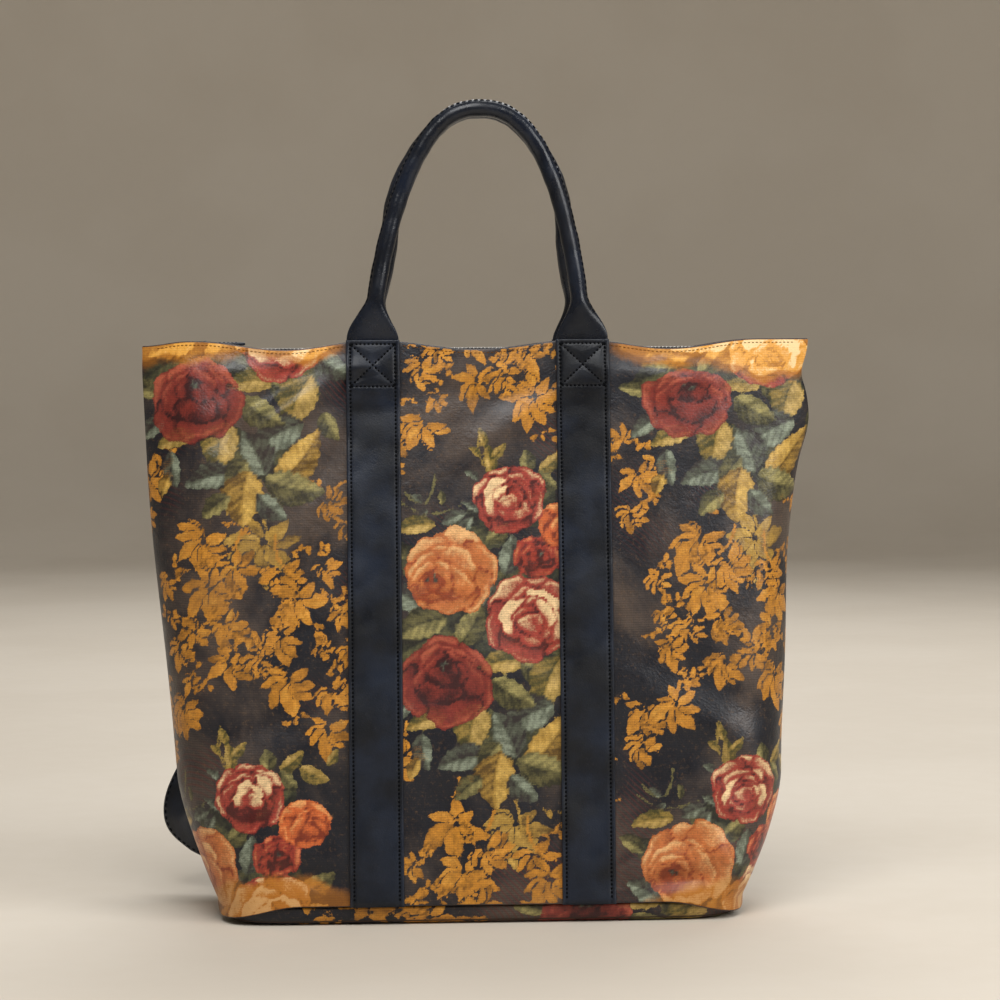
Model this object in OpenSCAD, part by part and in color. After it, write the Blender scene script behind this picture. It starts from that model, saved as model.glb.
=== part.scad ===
// Tote backpack of printed leather: a boxed body that closes to a flat zipped mouth.
// It is carried by two rolled handles at the top or by two shoulder straps at the back.
// Millimetres, +Z up, the front faces -Y, the origin is the middle of the base's underside.

/* [Body] */
// Width across the closed mouth
mouth_w = 440; // [410:1:470]
// Depth across the middle of the closed mouth
mouth_d = 30; // [29:0.5:36]
// Width across the hips, above the boxed corners
hip_w = 398; // [376:1:408]
// Height of the hips above the floor
hip_z = 92; // [70:1:110]
// Width at the base seam
base_w = 346; // [320:1:360]
// Depth at the base seam
base_d = 120; // [104:1:136]
// Height of the rim above the floor
body_h = 377; // [370:1:410]
// How far the front and the back swell past flat
belly = 6; // [0:0.5:10]
// Depth of the soft dips along the rim
rim_dip = 6; // [1:0.5:6]
// Thickness of the body leather
leather_t = 2; // [1.4:0.1:2.4]

/* [Base] */
// Height of the base seam above the floor
seam_z = 12; // [10:0.5:16]
// How far the panels hang past the seam at the lower corners
lip_drop = 9; // [0:0.5:9]
// Radius at which the base rolls up into its rim
base_roll_r = 8; // [5:0.5:9]
// Room between the panels' lip and the wall of the base
base_tuck = 0.4; // [0.3:0.1:2]

/* [Sewn straps] */
// Width of each vertical strap
strap_w = 35; // [28:1:40]
// Thickness of the strap leather
strap_t = 2; // [1.4:0.1:2.6]
// Distance between the middles of the two straps of one side
strap_pitch = 137; // [124:1:150]

/* [Handles] */
// Height of each handle above the rim
handle_h = 151; // [120:1:180]
// Diameter of the rolled part
handle_dia = 11; // [9:0.5:12]
// Distance between the two rolled parts where they come together
handle_pitch = 13; // [12.5:0.5:20]
// Length of the flare from the flat tongue to the rolled part
flare_l = 28; // [26:1:46]
// Distance that both handles lean to the right
handle_lean = 3; // [-5:0.5:5]
// Distance that the back handle sways inwards low down, and outwards high up
handle_sway = 3; // [0:0.5:6]
// Length of the tongue under the strap
tongue_l = 30; // [24:1:36]
// Thickness of the tongue
tongue_t = 2.4; // [1.8:0.1:3]

/* [Zip] */
// Distance from the corner of the mouth to the first tooth
zip_margin = 27; // [25:0.5:36]
// Distance from the corner of the mouth to the folded end of the zip
zip_corner_gap = 7.4; // [5:0.2:10]
// Depth of the zip below the rim
zip_drop = 6; // [6:0.5:9]
// Distance from one tooth to the next on one side
tooth_pitch = 2.5; // [2.2:0.1:3]
// Height of a tooth through the tape
tooth_h = 2.4; // [2:0.1:2.8]
// Width of the whole row of closed teeth
teeth_w = 6.4; // [5.6:0.2:6.8]
// Thickness of the zip tape
tape_t = 0.8; // [0.6:0.1:1]
// Length of the slider
slider_l = 12; // [11:0.5:13]
// Width of the slider
slider_w = 9; // [8.6:0.1:9.6]
// Thickness of each plate of the slider
slider_plate_t = 1.2; // [0.9:0.1:1.4]
// Length of the wire link from the slider's lug to the leather pull
link_l = 8.5; // [8.5:0.5:11]
// Inner width of the wire link
link_w = 7.6; // [7.2:0.1:8]
// Diameter of the wire of the link
wire_dia = 1.4; // [1:0.1:1.6]
// Length of the leather pull
pull_l = 26; // [20:1:28]
// Width of the leather pull
pull_w = 6.6; // [5.6:0.1:6.6]
// Thickness of the leather pull
pull_t = 2.2; // [1.6:0.1:2.6]

/* [Shoulder straps] */
// Width of each shoulder strap
shoulder_w = 38; // [32:1:40]
// Thickness of each shoulder strap
shoulder_t = 2.6; // [2:0.1:3]
// How far past the hips the outer edge of the left strap curls out
curl_left = 21; // [8:1:30]
// How far inside the hips the outer edge of the right strap stays
tuck_right = 19; // [5:1:26]
// Distance of each strap's upper end from the middle
upper_end_x = 30; // [26:1:30]
// Distance of each strap's upper end below the rim
upper_end_drop = 52; // [50:1:63]
// Height of each strap's lower end
lower_end_z = 38; // [36:1:60]
// How far the straps stand off the back
stand_off = 46; // [36:1:56]
// Height of the patch that holds the upper ends
patch_h = 30; // [24:1:36]
// Thickness of the patch
patch_t = 2; // [1.4:0.1:2.6]
// Height of the metal slide along the strap
slide_h = 9; // [7:0.5:12]
// Thickness of the metal of the slide
slide_t = 1.8; // [1.4:0.1:2.4]

/* [Hidden] */
$fn = 48;
overrun = 1;
sew_gap = 0.3;
fit_gap = 0.3;
seam_gap = 0.3;

leather_colour = [0.34, 0.22, 0.12];
navy_colour = [0.09, 0.11, 0.16];
tape_colour = [0.07, 0.08, 0.11];
metal_colour = [0.74, 0.74, 0.72];

panel_cols = 30;
panel_rows = 16;
base_cols = 30;
strap_cols = 4;
strap_rows = 22;
handle_steps = 26;
handle_sides = 14;
route_steps = 4;
tape_steps = 26;

// Powers that make the outline square at the base and a thin lens at the mouth
base_square_power = 14;
mouth_square_power = 4;
base_round_power = 2.5;
mouth_round_power = 1.15;
hip_power = 1.35;
// Powers of the arch of a handle, across and upwards
arch_across_power = 2.4;
arch_up_power = 1.5;

// The rim dips between the straps and between each strap and the corner
rim_calm_share = 0.84;
rim_calm_x = mouth_w / 2 * rim_calm_share;
strap_x = strap_pitch / 2;
zip_z = body_h - zip_drop;
zip_l = mouth_w - 2 * zip_margin;
tongue_w = strap_w - 2 * tongue_t;
base_inset = leather_t + base_tuck;
lip_from_share = 0.68;
lip_side_share = 0.6;
strap_ramp_l = tongue_l / 2;

// The lane between the two rows of teeth lets the slider's post through
post_t = 0.6;
post_l = 1.6;
lane_w = post_t + 2 * fit_gap;
tooth_solid_share = 0.46;
front_row_share = 0.125;
back_row_share = 0.625;
stop_share = 0.25;
spine_share = 0.36;
slider_post_share = 0.78;
slider_x = -zip_l / 2 + slider_l / 2 + 2 * fit_gap;
slider_plate_z = tooth_h / 2 + fit_gap;
slider_flange_z = tape_t / 2 + fit_gap;
slider_top_z = slider_plate_z + slider_plate_t;
slider_end_shares = [1, 0.8, 0.15, -0.75, -1];
slider_side_shares = [0.66, 0.8, 1, 1, 0.8];
lug_bore = wire_dia + 2 * fit_gap;
lug_rim = 1;
lug_w = 2.4;
hinge_z = zip_z + slider_top_z + lug_bore / 2 + fit_gap;
pull_eye_wall = 1.2;
link_arm_share = 0.86;
stop_l = 2;

upper_end_z = body_h - upper_end_drop;
left_reach = hip_w / 2 + curl_left - shoulder_w / 2;
right_reach = hip_w / 2 - tuck_right - shoulder_w / 2;

// Route of a shoulder strap from its sewn lower end to its upper end under the patch
route_reach_shares = [0.47, 0.63, 0.8, 0.945, 1, 0.94, 0.74, 0.42, 0.17, 0.04, 0, 0];
route_rise_shares = [0, 0, 0, 0.017, 0.057, 0.141, 0.302, 0.51, 0.695, 0.842, 0.894, 1];
route_stand_shares = [0, 0.01, 0.1, 0.28, 0.46, 0.7, 0.95, 1, 0.82, 0.2, 0, 0];
route_roll_shares = [0, 0, 0.08, 0.35, 0.55, 0.5, 0.35, 0.2, 0.1, 0, 0, 0];
route_last = len(route_reach_shares) - 1;
slide_route_share = 0.655;
slide_gap = 0.8;
patch_margin = 5;
patch_lift = sew_gap + shoulder_t + sew_gap;
patch_lap_share = 0.2;

function mix(a, b, s) = a + (b - a) * s;
function clamp(s) = min(max(s, 0), 1);
function ease(s) = clamp(s) * clamp(s) * (3 - 2 * clamp(s));
function unit(v) = v / norm(v);

// Outline of the body at a height: half width, half depth and how square its ends are
function rise(z) = clamp((z - seam_z) / (body_h - seam_z));
function below_hip(z) = clamp((hip_z - z) / (hip_z - seam_z));
function above_hip(z) = clamp((z - hip_z) / (body_h - hip_z));
function half_w(z) =
    z < hip_z
        ? mix(hip_w, base_w, pow(below_hip(z), hip_power)) / 2
        : mix(hip_w, mouth_w, above_hip(z)) / 2;
function half_d(z) = mix(base_d, mouth_d, rise(z)) / 2 + belly * sin(180 * rise(z));
function square_power(z) = mix(base_square_power, mouth_square_power, rise(z));
function round_power(z) = mix(base_round_power, mouth_round_power, rise(z));
function wall_y(x, z, inset) =
    let (s = clamp(abs(x) / (half_w(z) - inset)))
    (half_d(z) - inset) * pow(1 - pow(s, square_power(z)), 1 / round_power(z));

// Height of the rim across the mouth, with a dip between each pair of held places
function rim_z(x) =
    let (s = abs(x))
    s < strap_x ? body_h - rim_dip * pow(cos(90 * s / strap_x), 2)
    : s < rim_calm_x ? body_h - rim_dip * pow(sin(180 * (s - strap_x) / (rim_calm_x - strap_x)), 2)
    : body_h;

// A thick sheet between two grids of points, the first of which faces out
module sheet(face, back, rows, cols) {
    count = (rows + 1) * (cols + 1);
    function at(i, j) = j * (cols + 1) + i;
    function under(i, j) = count + at(i, j);
    polyhedron(
        points = concat(face, back),
        faces = concat(
            [for (j = [0 : rows - 1], i = [0 : cols - 1]) [at(i, j), at(i, j + 1), at(i + 1, j + 1)]],
            [for (j = [0 : rows - 1], i = [0 : cols - 1]) [at(i, j), at(i + 1, j + 1), at(i + 1, j)]],
            [for (j = [0 : rows - 1], i = [0 : cols - 1])
                [under(i, j), under(i + 1, j + 1), under(i, j + 1)]],
            [for (j = [0 : rows - 1], i = [0 : cols - 1])
                [under(i, j), under(i + 1, j), under(i + 1, j + 1)]],
            [for (i = [0 : cols - 1]) [at(i, 0), at(i + 1, 0), under(i + 1, 0), under(i, 0)]],
            [for (i = [0 : cols - 1])
                [at(i + 1, rows), at(i, rows), under(i, rows), under(i + 1, rows)]],
            [for (j = [0 : rows - 1]) [at(0, j + 1), at(0, j), under(0, j), under(0, j + 1)]],
            [for (j = [0 : rows - 1])
                [at(cols, j), at(cols, j + 1), under(cols, j + 1), under(cols, j)]]
        )
    );
}

// A closed skin over rings of points, with a flat cap at each end
module skin(rings) {
    sides = len(rings[0]);
    last = len(rings) - 1;
    function at(k, m) = k * sides + m % sides;
    polyhedron(
        points = [for (ring = rings) each ring],
        faces = concat(
            [for (k = [0 : last - 1], m = [0 : sides - 1]) [at(k, m), at(k + 1, m), at(k + 1, m + 1)]],
            [for (k = [0 : last - 1], m = [0 : sides - 1]) [at(k, m), at(k + 1, m + 1), at(k, m + 1)]],
            [[for (m = [0 : sides - 1]) at(0, m)]],
            [[for (m = [0 : sides - 1]) at(last, sides - 1 - m)]]
        )
    );
}

// Body

// The lip hangs lowest at the corners and comes back up to the seam at the sides
function lip_z(s) =
    let (side = wall_y(s * base_w / 2, seam_z, 0) / (base_d / 2))
    seam_z + seam_gap
        - lip_drop * ease((abs(s) - lip_from_share) / (1 - lip_from_share)) * ease(side / lip_side_share);
function panel_point(i, j, inset) =
    let (
        s = sin(90 * (2 * i / panel_cols - 1)),
        z = mix(lip_z(s), rim_z(s * mouth_w / 2), j / panel_rows),
        x = s * (half_w(z) - inset)
    )
    [x, -wall_y(x, z, inset) - seam_gap / 2, z];

module panel() {
    sheet(
        [for (j = [0 : panel_rows], i = [0 : panel_cols]) panel_point(i, j, 0)],
        [for (j = [0 : panel_rows], i = [0 : panel_cols]) panel_point(i, j, leather_t)],
        panel_rows, panel_cols
    );
}

module front_panel() {
    color(leather_colour) panel();
}

module back_panel() {
    color(leather_colour) mirror([0, 1, 0]) panel();
}

module rounded_rectangle(w, d, r) {
    square([w - 2 * r, d], center = true);
    square([w, d - 2 * r], center = true);
    for (x = [-1, 1], y = [-1, 1]) {
        translate([x * (w / 2 - r), y * (d / 2 - r)]) circle(r);
    }
}

// Side view of a shallow tray of the given width, open upwards, with rolled lower corners
module rolled_side(w, h, r) {
    translate([-w / 2, r]) square([w, h - r]);
    translate([-w / 2 + r, 0]) square([w - 2 * r, h]);
    for (x = [-1, 1]) {
        translate([x * (w / 2 - r), r]) circle(r);
    }
}

// Plan of the base: the outline of the body at the seam, moved in
function base_edge(k, side, inset) =
    let (x = sin(90 * (2 * k / base_cols - 1)) * (base_w / 2 - inset))
    [x, side * wall_y(x, seam_z, inset)];
module base_plan(inset) {
    polygon(concat(
        [for (k = [0 : base_cols]) base_edge(k, -1, inset)],
        [for (k = [1 : base_cols - 1]) base_edge(base_cols - k, 1, inset)]
    ));
}

// The outer form of the base, or with an inset the hollow inside its leather
module base_form(inset, h) {
    w = base_w - 2 * base_inset - 2 * inset;
    d = base_d - 2 * base_inset - 2 * inset;
    roll = base_roll_r - inset;
    intersection() {
        linear_extrude(h) base_plan(base_inset + inset);
        rotate([90, 0, 0]) linear_extrude(base_d, center = true) rolled_side(w, h, roll);
        rotate([90, 0, 90]) linear_extrude(base_w, center = true) rolled_side(d, h, roll);
    }
}

module base_panel() {
    color(leather_colour)
        difference() {
            base_form(0, seam_z);
            translate([0, 0, leather_t]) base_form(leather_t, seam_z + overrun);
        }
}

// Vertical straps and handles

// The strap stands out at the top, where the handle's tongue lies under it
function strap_lift(z) =
    sew_gap + (tongue_t + sew_gap) * ease((z - body_h + tongue_l + strap_ramp_l) / strap_ramp_l);
function strap_point(x0, i, j, out) =
    let (
        x = x0 + strap_w * (i / strap_cols - 1 / 2),
        z = mix(seam_z + seam_gap, rim_z(x0), j / strap_rows)
    )
    [x, -wall_y(x, z, 0) - seam_gap / 2 - strap_lift(z) - out, z];

module strap(x0) {
    color(navy_colour)
        sheet(
            [for (j = [0 : strap_rows], i = [0 : strap_cols]) strap_point(x0, i, j, strap_t)],
            [for (j = [0 : strap_rows], i = [0 : strap_cols]) strap_point(x0, i, j, 0)],
            strap_rows, strap_cols
        );
}

module front_strap_left() {
    strap(-strap_x);
}

module front_strap_right() {
    strap(strap_x);
}

module back_strap_left() {
    mirror([0, 1, 0]) strap(-strap_x);
}

module back_strap_right() {
    mirror([0, 1, 0]) strap(strap_x);
}

// Middle of a handle along its arch, from 0 at the left foot to 180 at the right foot
function arch_y(up) =
    let (foot = wall_y(strap_x, body_h, 0) + seam_gap / 2 + sew_gap + tongue_t / 2)
    -mix(foot, handle_pitch / 2, ease(up / handle_h));
function arch_point(a, sway) =
    let (
        up = handle_h * pow(sin(a), 2 / arch_up_power),
        share = ease(up / handle_h),
        across = strap_x * pow(abs(cos(a)), 2 / arch_across_power) - sway * sin(360 * share)
    )
    [(a < 90 ? -across : across) + handle_lean * share, arch_y(up), body_h + up];
function arch_ring(a, sway) =
    let (
        p = arch_point(a, sway),
        step = 90 / handle_steps,
        t = a <= 0 ? [0, 0, 1] : a >= 180 ? [0, 0, -1]
            : unit(arch_point(a + step, sway) - arch_point(a - step, sway)),
        n = unit(cross([0, 1, 0], t)),
        rolled = ease((p.z - body_h) / flare_l),
        w = mix(tongue_w, handle_dia, rolled) / 2,
        h = mix(tongue_t, handle_dia, rolled) / 2
    )
    [for (m = [0 : handle_sides - 1])
        let (f = 360 * m / handle_sides) p + n * w * cos(f) + [0, h * sin(f), 0]];

// The flat tongue on the outside of the panel, below the rim
function tongue_ring(side, z) =
    let (y = -wall_y(strap_x, z, 0) - seam_gap / 2 - sew_gap - tongue_t / 2)
    [for (m = [0 : handle_sides - 1])
        let (f = 360 * m / handle_sides)
        [side * (strap_x - tongue_w / 2 * cos(f)), y + tongue_t / 2 * sin(f), z]];

module handle(sway) {
    tongue_zs = [for (s = [0, 1 / 2]) body_h - tongue_l * (1 - s)];
    color(navy_colour)
        skin(concat(
            [for (z = tongue_zs) tongue_ring(-1, z)],
            [for (k = [0 : handle_steps]) arch_ring(180 * k / handle_steps, sway)],
            [for (k = [0 : 1]) tongue_ring(1, tongue_zs[1 - k])]
        ));
}

module front_handle() {
    handle(0);
}

module back_handle() {
    mirror([0, 1, 0]) handle(handle_sway);
}

// Zip

// Distance from the middle of the mouth to the inside of the leather at the zip
function mouth_side(x) = wall_y(x, zip_z, leather_t) + seam_gap / 2 - fit_gap;

module tape_outline() {
    half = zip_l / 2 + stop_l + fit_gap;
    polygon(concat(
        [for (k = [0 : tape_steps]) let (x = half * (2 * k / tape_steps - 1)) [x, -mouth_side(x)]],
        [[half, -teeth_w / 2], [-half, -teeth_w / 2]]
    ));
}

module zip_tape_front() {
    color(tape_colour) translate([0, 0, zip_z - tape_t / 2]) linear_extrude(tape_t) tape_outline();
}

module zip_tape_back() {
    mirror([0, 1, 0]) zip_tape_front();
}

// One row of teeth on its spine, moved along by a share of the pitch so that the rows alternate
module tooth_row(shift_share) {
    count = floor(zip_l / tooth_pitch - 1);
    start = -zip_l / 2 + tooth_pitch * shift_share;
    spine_y = -mix(teeth_w, lane_w, spine_share) / 2;
    tip_y = -lane_w / 2;
    tooth_l = tooth_pitch * tooth_solid_share;
    teeth = [for (k = [0 : count])
        let (x = start + tooth_pitch * k)
        each [[x, spine_y], [x, tip_y], [x + tooth_l, tip_y], [x + tooth_l, spine_y]]];
    color(metal_colour)
        translate([0, 0, zip_z - tooth_h / 2])
            linear_extrude(tooth_h)
                polygon(concat([[-zip_l / 2, -teeth_w / 2], [-zip_l / 2, spine_y]], teeth,
                    [[zip_l / 2, spine_y], [zip_l / 2, -teeth_w / 2]]));
}

module zip_teeth_front() {
    tooth_row(front_row_share);
}

module zip_teeth_back() {
    mirror([0, 1, 0]) tooth_row(back_row_share);
}

// Folded leather that closes each end of the zip, tapered with the mouth
module zip_end(side) {
    near = zip_l / 2 + stop_l + 2 * fit_gap;
    far = mouth_w / 2 - zip_corner_gap;
    color(navy_colour)
        translate([0, 0, zip_z - tooth_h / 2])
            linear_extrude(tooth_h + tape_t)
                polygon([for (y = [-1, 1], x = y < 0 ? [near, far] : [far, near]) [side * x, y * mouth_side(x)]]);
}

module zip_end_left() {
    zip_end(-1);
}

module zip_end_right() {
    zip_end(1);
}

// Two stops above the closed end and one below the open end, crimped on the tape
module zip_stops() {
    w = teeth_w * stop_share;
    color(metal_colour) {
        for (side = [-1, 1]) {
            translate([-zip_l / 2 - stop_l, side * (teeth_w / 2 + w / 2) - w / 2, zip_z + tape_t / 2])
                cube([stop_l, w, tape_t]);
        }
        translate([zip_l / 2, -teeth_w / 2 - w, zip_z + tape_t / 2])
            cube([stop_l, teeth_w + 2 * w, tape_t]);
    }
}

module slider_outline() {
    function edge(k, y) = [slider_l / 2 * slider_end_shares[k], y * slider_w / 2 * slider_side_shares[k]];
    last = len(slider_end_shares) - 1;
    polygon(concat([for (k = [0 : last]) edge(k, -1)], [for (k = [0 : last]) edge(last - k, 1)]));
}

// One plate of the slider with the two flanges that keep it on the teeth
module slider_plate() {
    channel_w = teeth_w + 2 * fit_gap;
    difference() {
        translate([0, 0, slider_flange_z]) linear_extrude(slider_top_z - slider_flange_z) slider_outline();
        translate([-slider_l / 2 - overrun, -channel_w / 2, 0])
            cube([slider_l + 2 * overrun, channel_w, slider_plate_z]);
    }
}

// Upright lug with the bore in which the link's bar turns
module slider_lug() {
    r = lug_bore / 2 + lug_rim;
    translate([0, 0, hinge_z - zip_z])
        rotate([90, 0, 0])
            linear_extrude(lug_w, center = true)
                difference() {
                    union() {
                        circle(r);
                        translate([-r, -lug_bore / 2 - fit_gap - slider_plate_t / 2])
                            square([2 * r, lug_bore / 2 + fit_gap + slider_plate_t / 2]);
                    }
                    circle(d = lug_bore);
                }
}

module zip_slider() {
    color(metal_colour)
        translate([slider_x, 0, zip_z])
            union() {
                slider_plate();
                mirror([0, 0, 1]) slider_plate();
                slider_lug();
                translate([-slider_l / 2 * slider_post_share, 0, 0])
                    cube([post_l, post_t, 2 * slider_plate_z + slider_plate_t], center = true);
            }
}

// Rectangle of wire: one bar turns in the slider's lug and the other holds the pull
module pull_link() {
    span = link_w + wire_dia;
    color(metal_colour)
        translate([slider_x, 0, hinge_z]) {
            for (x = [0, link_l]) {
                translate([x, 0, 0])
                    rotate([90, 0, 0])
                        cylinder(d = wire_dia, h = span + wire_dia, center = true);
            }
            for (y = [-1, 1]) {
                translate([0, y * span / 2, 0])
                    rotate([0, 90, 0])
                        cylinder(d = wire_dia * link_arm_share, h = link_l);
            }
        }
}

// Leather pull: an eye folded round the link's bar and a flat tab with a rounded end
module zip_pull() {
    eye_bore = wire_dia + 2 * fit_gap;
    eye_dia = eye_bore + 2 * pull_eye_wall;
    tab_l = pull_l - pull_w / 2;
    color(navy_colour)
        translate([slider_x + link_l, 0, hinge_z])
            difference() {
                union() {
                    rotate([90, 0, 0]) cylinder(d = eye_dia, h = pull_w, center = true);
                    translate([0, -pull_w / 2, -pull_t / 2]) cube([tab_l, pull_w, pull_t]);
                    translate([tab_l, 0, -pull_t / 2]) cylinder(d = pull_w, h = pull_t);
                }
                rotate([90, 0, 0]) cylinder(d = eye_bore, h = pull_w + 2 * overrun, center = true);
            }
}

// Shoulder straps

// A smooth value through a list, at a place counted in steps of the list
function through(list, t) =
    let (
        k = min(floor(t), route_last - 1),
        f = t - k,
        p0 = list[max(k - 1, 0)],
        p1 = list[k],
        p2 = list[k + 1],
        p3 = list[min(k + 2, route_last)]
    )
    p1 + f * ((p2 - p0) / 2
        + f * ((2 * p0 - 5 * p1 + 4 * p2 - p3) / 2 + f * (3 * p1 - p0 - 3 * p2 + p3) / 2));

// Middle of the strap's leather on the right-hand side, for a given reach
function route_point(reach, t) =
    let (
        z = mix(lower_end_z, upper_end_z, through(route_rise_shares, t)),
        off = max(stand_off * through(route_stand_shares, t), 0)
    )
    [mix(upper_end_x, reach, through(route_reach_shares, t)),
        half_d(z) + seam_gap / 2 + sew_gap + shoulder_t / 2 + off, z];

// Directions along the strap, across its width and through its thickness
function route_frame(reach, t) =
    let (
        h = 1 / route_steps / 4,
        along = unit(route_point(reach, min(t + h, route_last)) - route_point(reach, max(t - h, 0))),
        z = route_point(reach, t).z,
        lean = (half_d(z + shoulder_w / 2) - half_d(z - shoulder_w / 2)) / shoulder_w,
        flat = unit(cross([0, 1, -lean], along)),
        roll = 90 * through(route_roll_shares, t),
        across = flat * cos(roll) + cross(along, flat) * sin(roll)
    )
    [along, across, cross(along, across)];
function route_ring(reach, t) =
    let (p = route_point(reach, t), f = route_frame(reach, t))
    [for (c = [[1, 1], [-1, 1], [-1, -1], [1, -1]])
        p + f[1] * c[0] * shoulder_w / 2 + f[2] * c[1] * shoulder_t / 2];

module shoulder_strap(reach) {
    color(navy_colour)
        skin([for (k = [0 : route_last * route_steps]) route_ring(reach, k / route_steps)]);
}

module shoulder_strap_left() {
    mirror([1, 0, 0]) shoulder_strap(left_reach);
}

module shoulder_strap_right() {
    shoulder_strap(right_reach);
}

// Metal loop round the strap, by which its length is set
module strap_slide(reach) {
    t = route_last * slide_route_share;
    p = route_point(reach, t);
    f = route_frame(reach, t);
    inner_w = shoulder_w + 2 * slide_gap;
    inner_t = shoulder_t + 2 * slide_gap;
    color(metal_colour)
        multmatrix([for (k = [0 : 2]) [f[1][k], f[2][k], f[0][k], p[k]]])
            linear_extrude(slide_h, center = true)
                difference() {
                    rounded_rectangle(inner_w + 2 * slide_t, inner_t + 2 * slide_t, slide_t);
                    square([inner_w, inner_t], center = true);
                }
}

module strap_slide_left() {
    mirror([1, 0, 0]) strap_slide(left_reach);
}

module strap_slide_right() {
    strap_slide(right_reach);
}

// Patch sewn over the upper ends of both shoulder straps
module strap_patch() {
    half = upper_end_x + shoulder_w / 2 + patch_margin;
    z0 = upper_end_z - patch_h * (1 - patch_lap_share);
    function patch_point(i, j, out) =
        let (x = half * (2 * i / strap_cols - 1), z = z0 + patch_h * j / strap_cols)
        [x, -half_d(z) - seam_gap / 2 - patch_lift - out, z];
    color(navy_colour)
        mirror([0, 1, 0])
            sheet(
                [for (j = [0 : strap_cols], i = [0 : strap_cols]) patch_point(i, j, patch_t)],
                [for (j = [0 : strap_cols], i = [0 : strap_cols]) patch_point(i, j, 0)],
                strap_cols, strap_cols
            );
}

front_panel();
back_panel();
base_panel();
front_strap_left();
front_strap_right();
back_strap_left();
back_strap_right();
front_handle();
back_handle();
zip_tape_front();
zip_tape_back();
zip_teeth_front();
zip_teeth_back();
zip_end_left();
zip_end_right();
zip_stops();
zip_slider();
pull_link();
zip_pull();
shoulder_strap_left();
shoulder_strap_right();
strap_slide_left();
strap_slide_right();
strap_patch();
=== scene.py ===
"""Looks of a tote backpack of floral printed leather, built round its CAD frame."""
import math

import bpy
import numpy as np
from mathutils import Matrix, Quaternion, Vector

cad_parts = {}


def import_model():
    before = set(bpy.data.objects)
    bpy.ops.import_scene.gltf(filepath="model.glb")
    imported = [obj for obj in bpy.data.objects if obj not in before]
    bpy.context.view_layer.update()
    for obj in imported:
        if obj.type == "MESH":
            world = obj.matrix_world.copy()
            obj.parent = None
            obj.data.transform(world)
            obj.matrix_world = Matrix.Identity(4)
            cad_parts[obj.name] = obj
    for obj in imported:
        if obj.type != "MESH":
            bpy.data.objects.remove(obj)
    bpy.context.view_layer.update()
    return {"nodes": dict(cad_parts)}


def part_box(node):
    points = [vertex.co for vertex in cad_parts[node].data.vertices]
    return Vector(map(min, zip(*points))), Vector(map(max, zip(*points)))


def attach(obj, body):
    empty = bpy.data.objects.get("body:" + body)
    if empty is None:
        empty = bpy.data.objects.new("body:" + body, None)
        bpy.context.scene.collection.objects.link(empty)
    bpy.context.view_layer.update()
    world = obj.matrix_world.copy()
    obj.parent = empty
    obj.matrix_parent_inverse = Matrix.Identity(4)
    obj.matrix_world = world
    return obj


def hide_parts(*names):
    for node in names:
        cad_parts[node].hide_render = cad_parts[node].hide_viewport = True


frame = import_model()

# Sizes in metres. What the frame holds is read from it, the rest repeats the part's own values.
MM = 0.001
PANEL_LOW, PANEL_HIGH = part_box("front_panel")
BASE_LOW, BASE_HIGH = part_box("base_panel")
STRAP_LOW, STRAP_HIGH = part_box("front_strap_right")
HANDLE_LOW, HANDLE_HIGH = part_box("front_handle")
TEETH_LOW, TEETH_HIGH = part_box("zip_teeth_front")
PULL_LOW, PULL_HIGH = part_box("zip_pull")
SEAM_GAP = 0.3 * MM
SEW_GAP = 0.3 * MM
MOUTH_W = PANEL_HIGH.x - PANEL_LOW.x
MOUTH_D = 30 * MM
HIP_W = 398 * MM
HIP_Z = 92 * MM
BASE_INSET = 2.4 * MM
BASE_W = BASE_HIGH.x - BASE_LOW.x + 2 * BASE_INSET
BASE_D = BASE_HIGH.y - BASE_LOW.y + 2 * BASE_INSET
BODY_H = PANEL_HIGH.z
SEAM_Z = BASE_HIGH.z
BELLY = 6 * MM
RIM_DIP = 6 * MM
LEFT_DROOP = 3 * MM
LEATHER_T = 2 * MM
STRAP_X = (STRAP_LOW.x + STRAP_HIGH.x) / 2
STRAP_W = STRAP_HIGH.x - STRAP_LOW.x
STRAP_T = 2 * MM
TONGUE_L = BODY_H - HANDLE_LOW.z
TONGUE_T = 2.4 * MM
TONGUE_W = STRAP_W - 2 * TONGUE_T
TONGUE_SHOWN_W = STRAP_W - 1 * MM
HANDLE_DIA = 11 * MM
HANDLE_PITCH = 13 * MM
HANDLE_H = HANDLE_HIGH.z - HANDLE_DIA / 2 - BODY_H
FLARE_L = 28 * MM
HANDLE_LEAN = 3 * MM
HANDLE_SWAY = 3 * MM
LIP_DROP = 9 * MM
LIP_FROM, LIP_SIDE = 0.68, 0.6
BASE_ROLL_R = 8 * MM
SHOULDER_W = 38 * MM
SHOULDER_T = 2.6 * MM
PATCH_T = 2 * MM
PULL_T = 2.2 * MM
ZIP_PITCH = 2.5 * MM
ZIP_LANE = 1.2 * MM
BASE_SQUARE, MOUTH_SQUARE = 14, 4
BASE_ROUND, MOUTH_ROUND = 2.5, 1.15
HIP_POWER = 1.35
ARCH_ACROSS, ARCH_UP = 2.4, 1.5
RIM_CALM_X = MOUTH_W / 2 * 0.84

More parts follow.
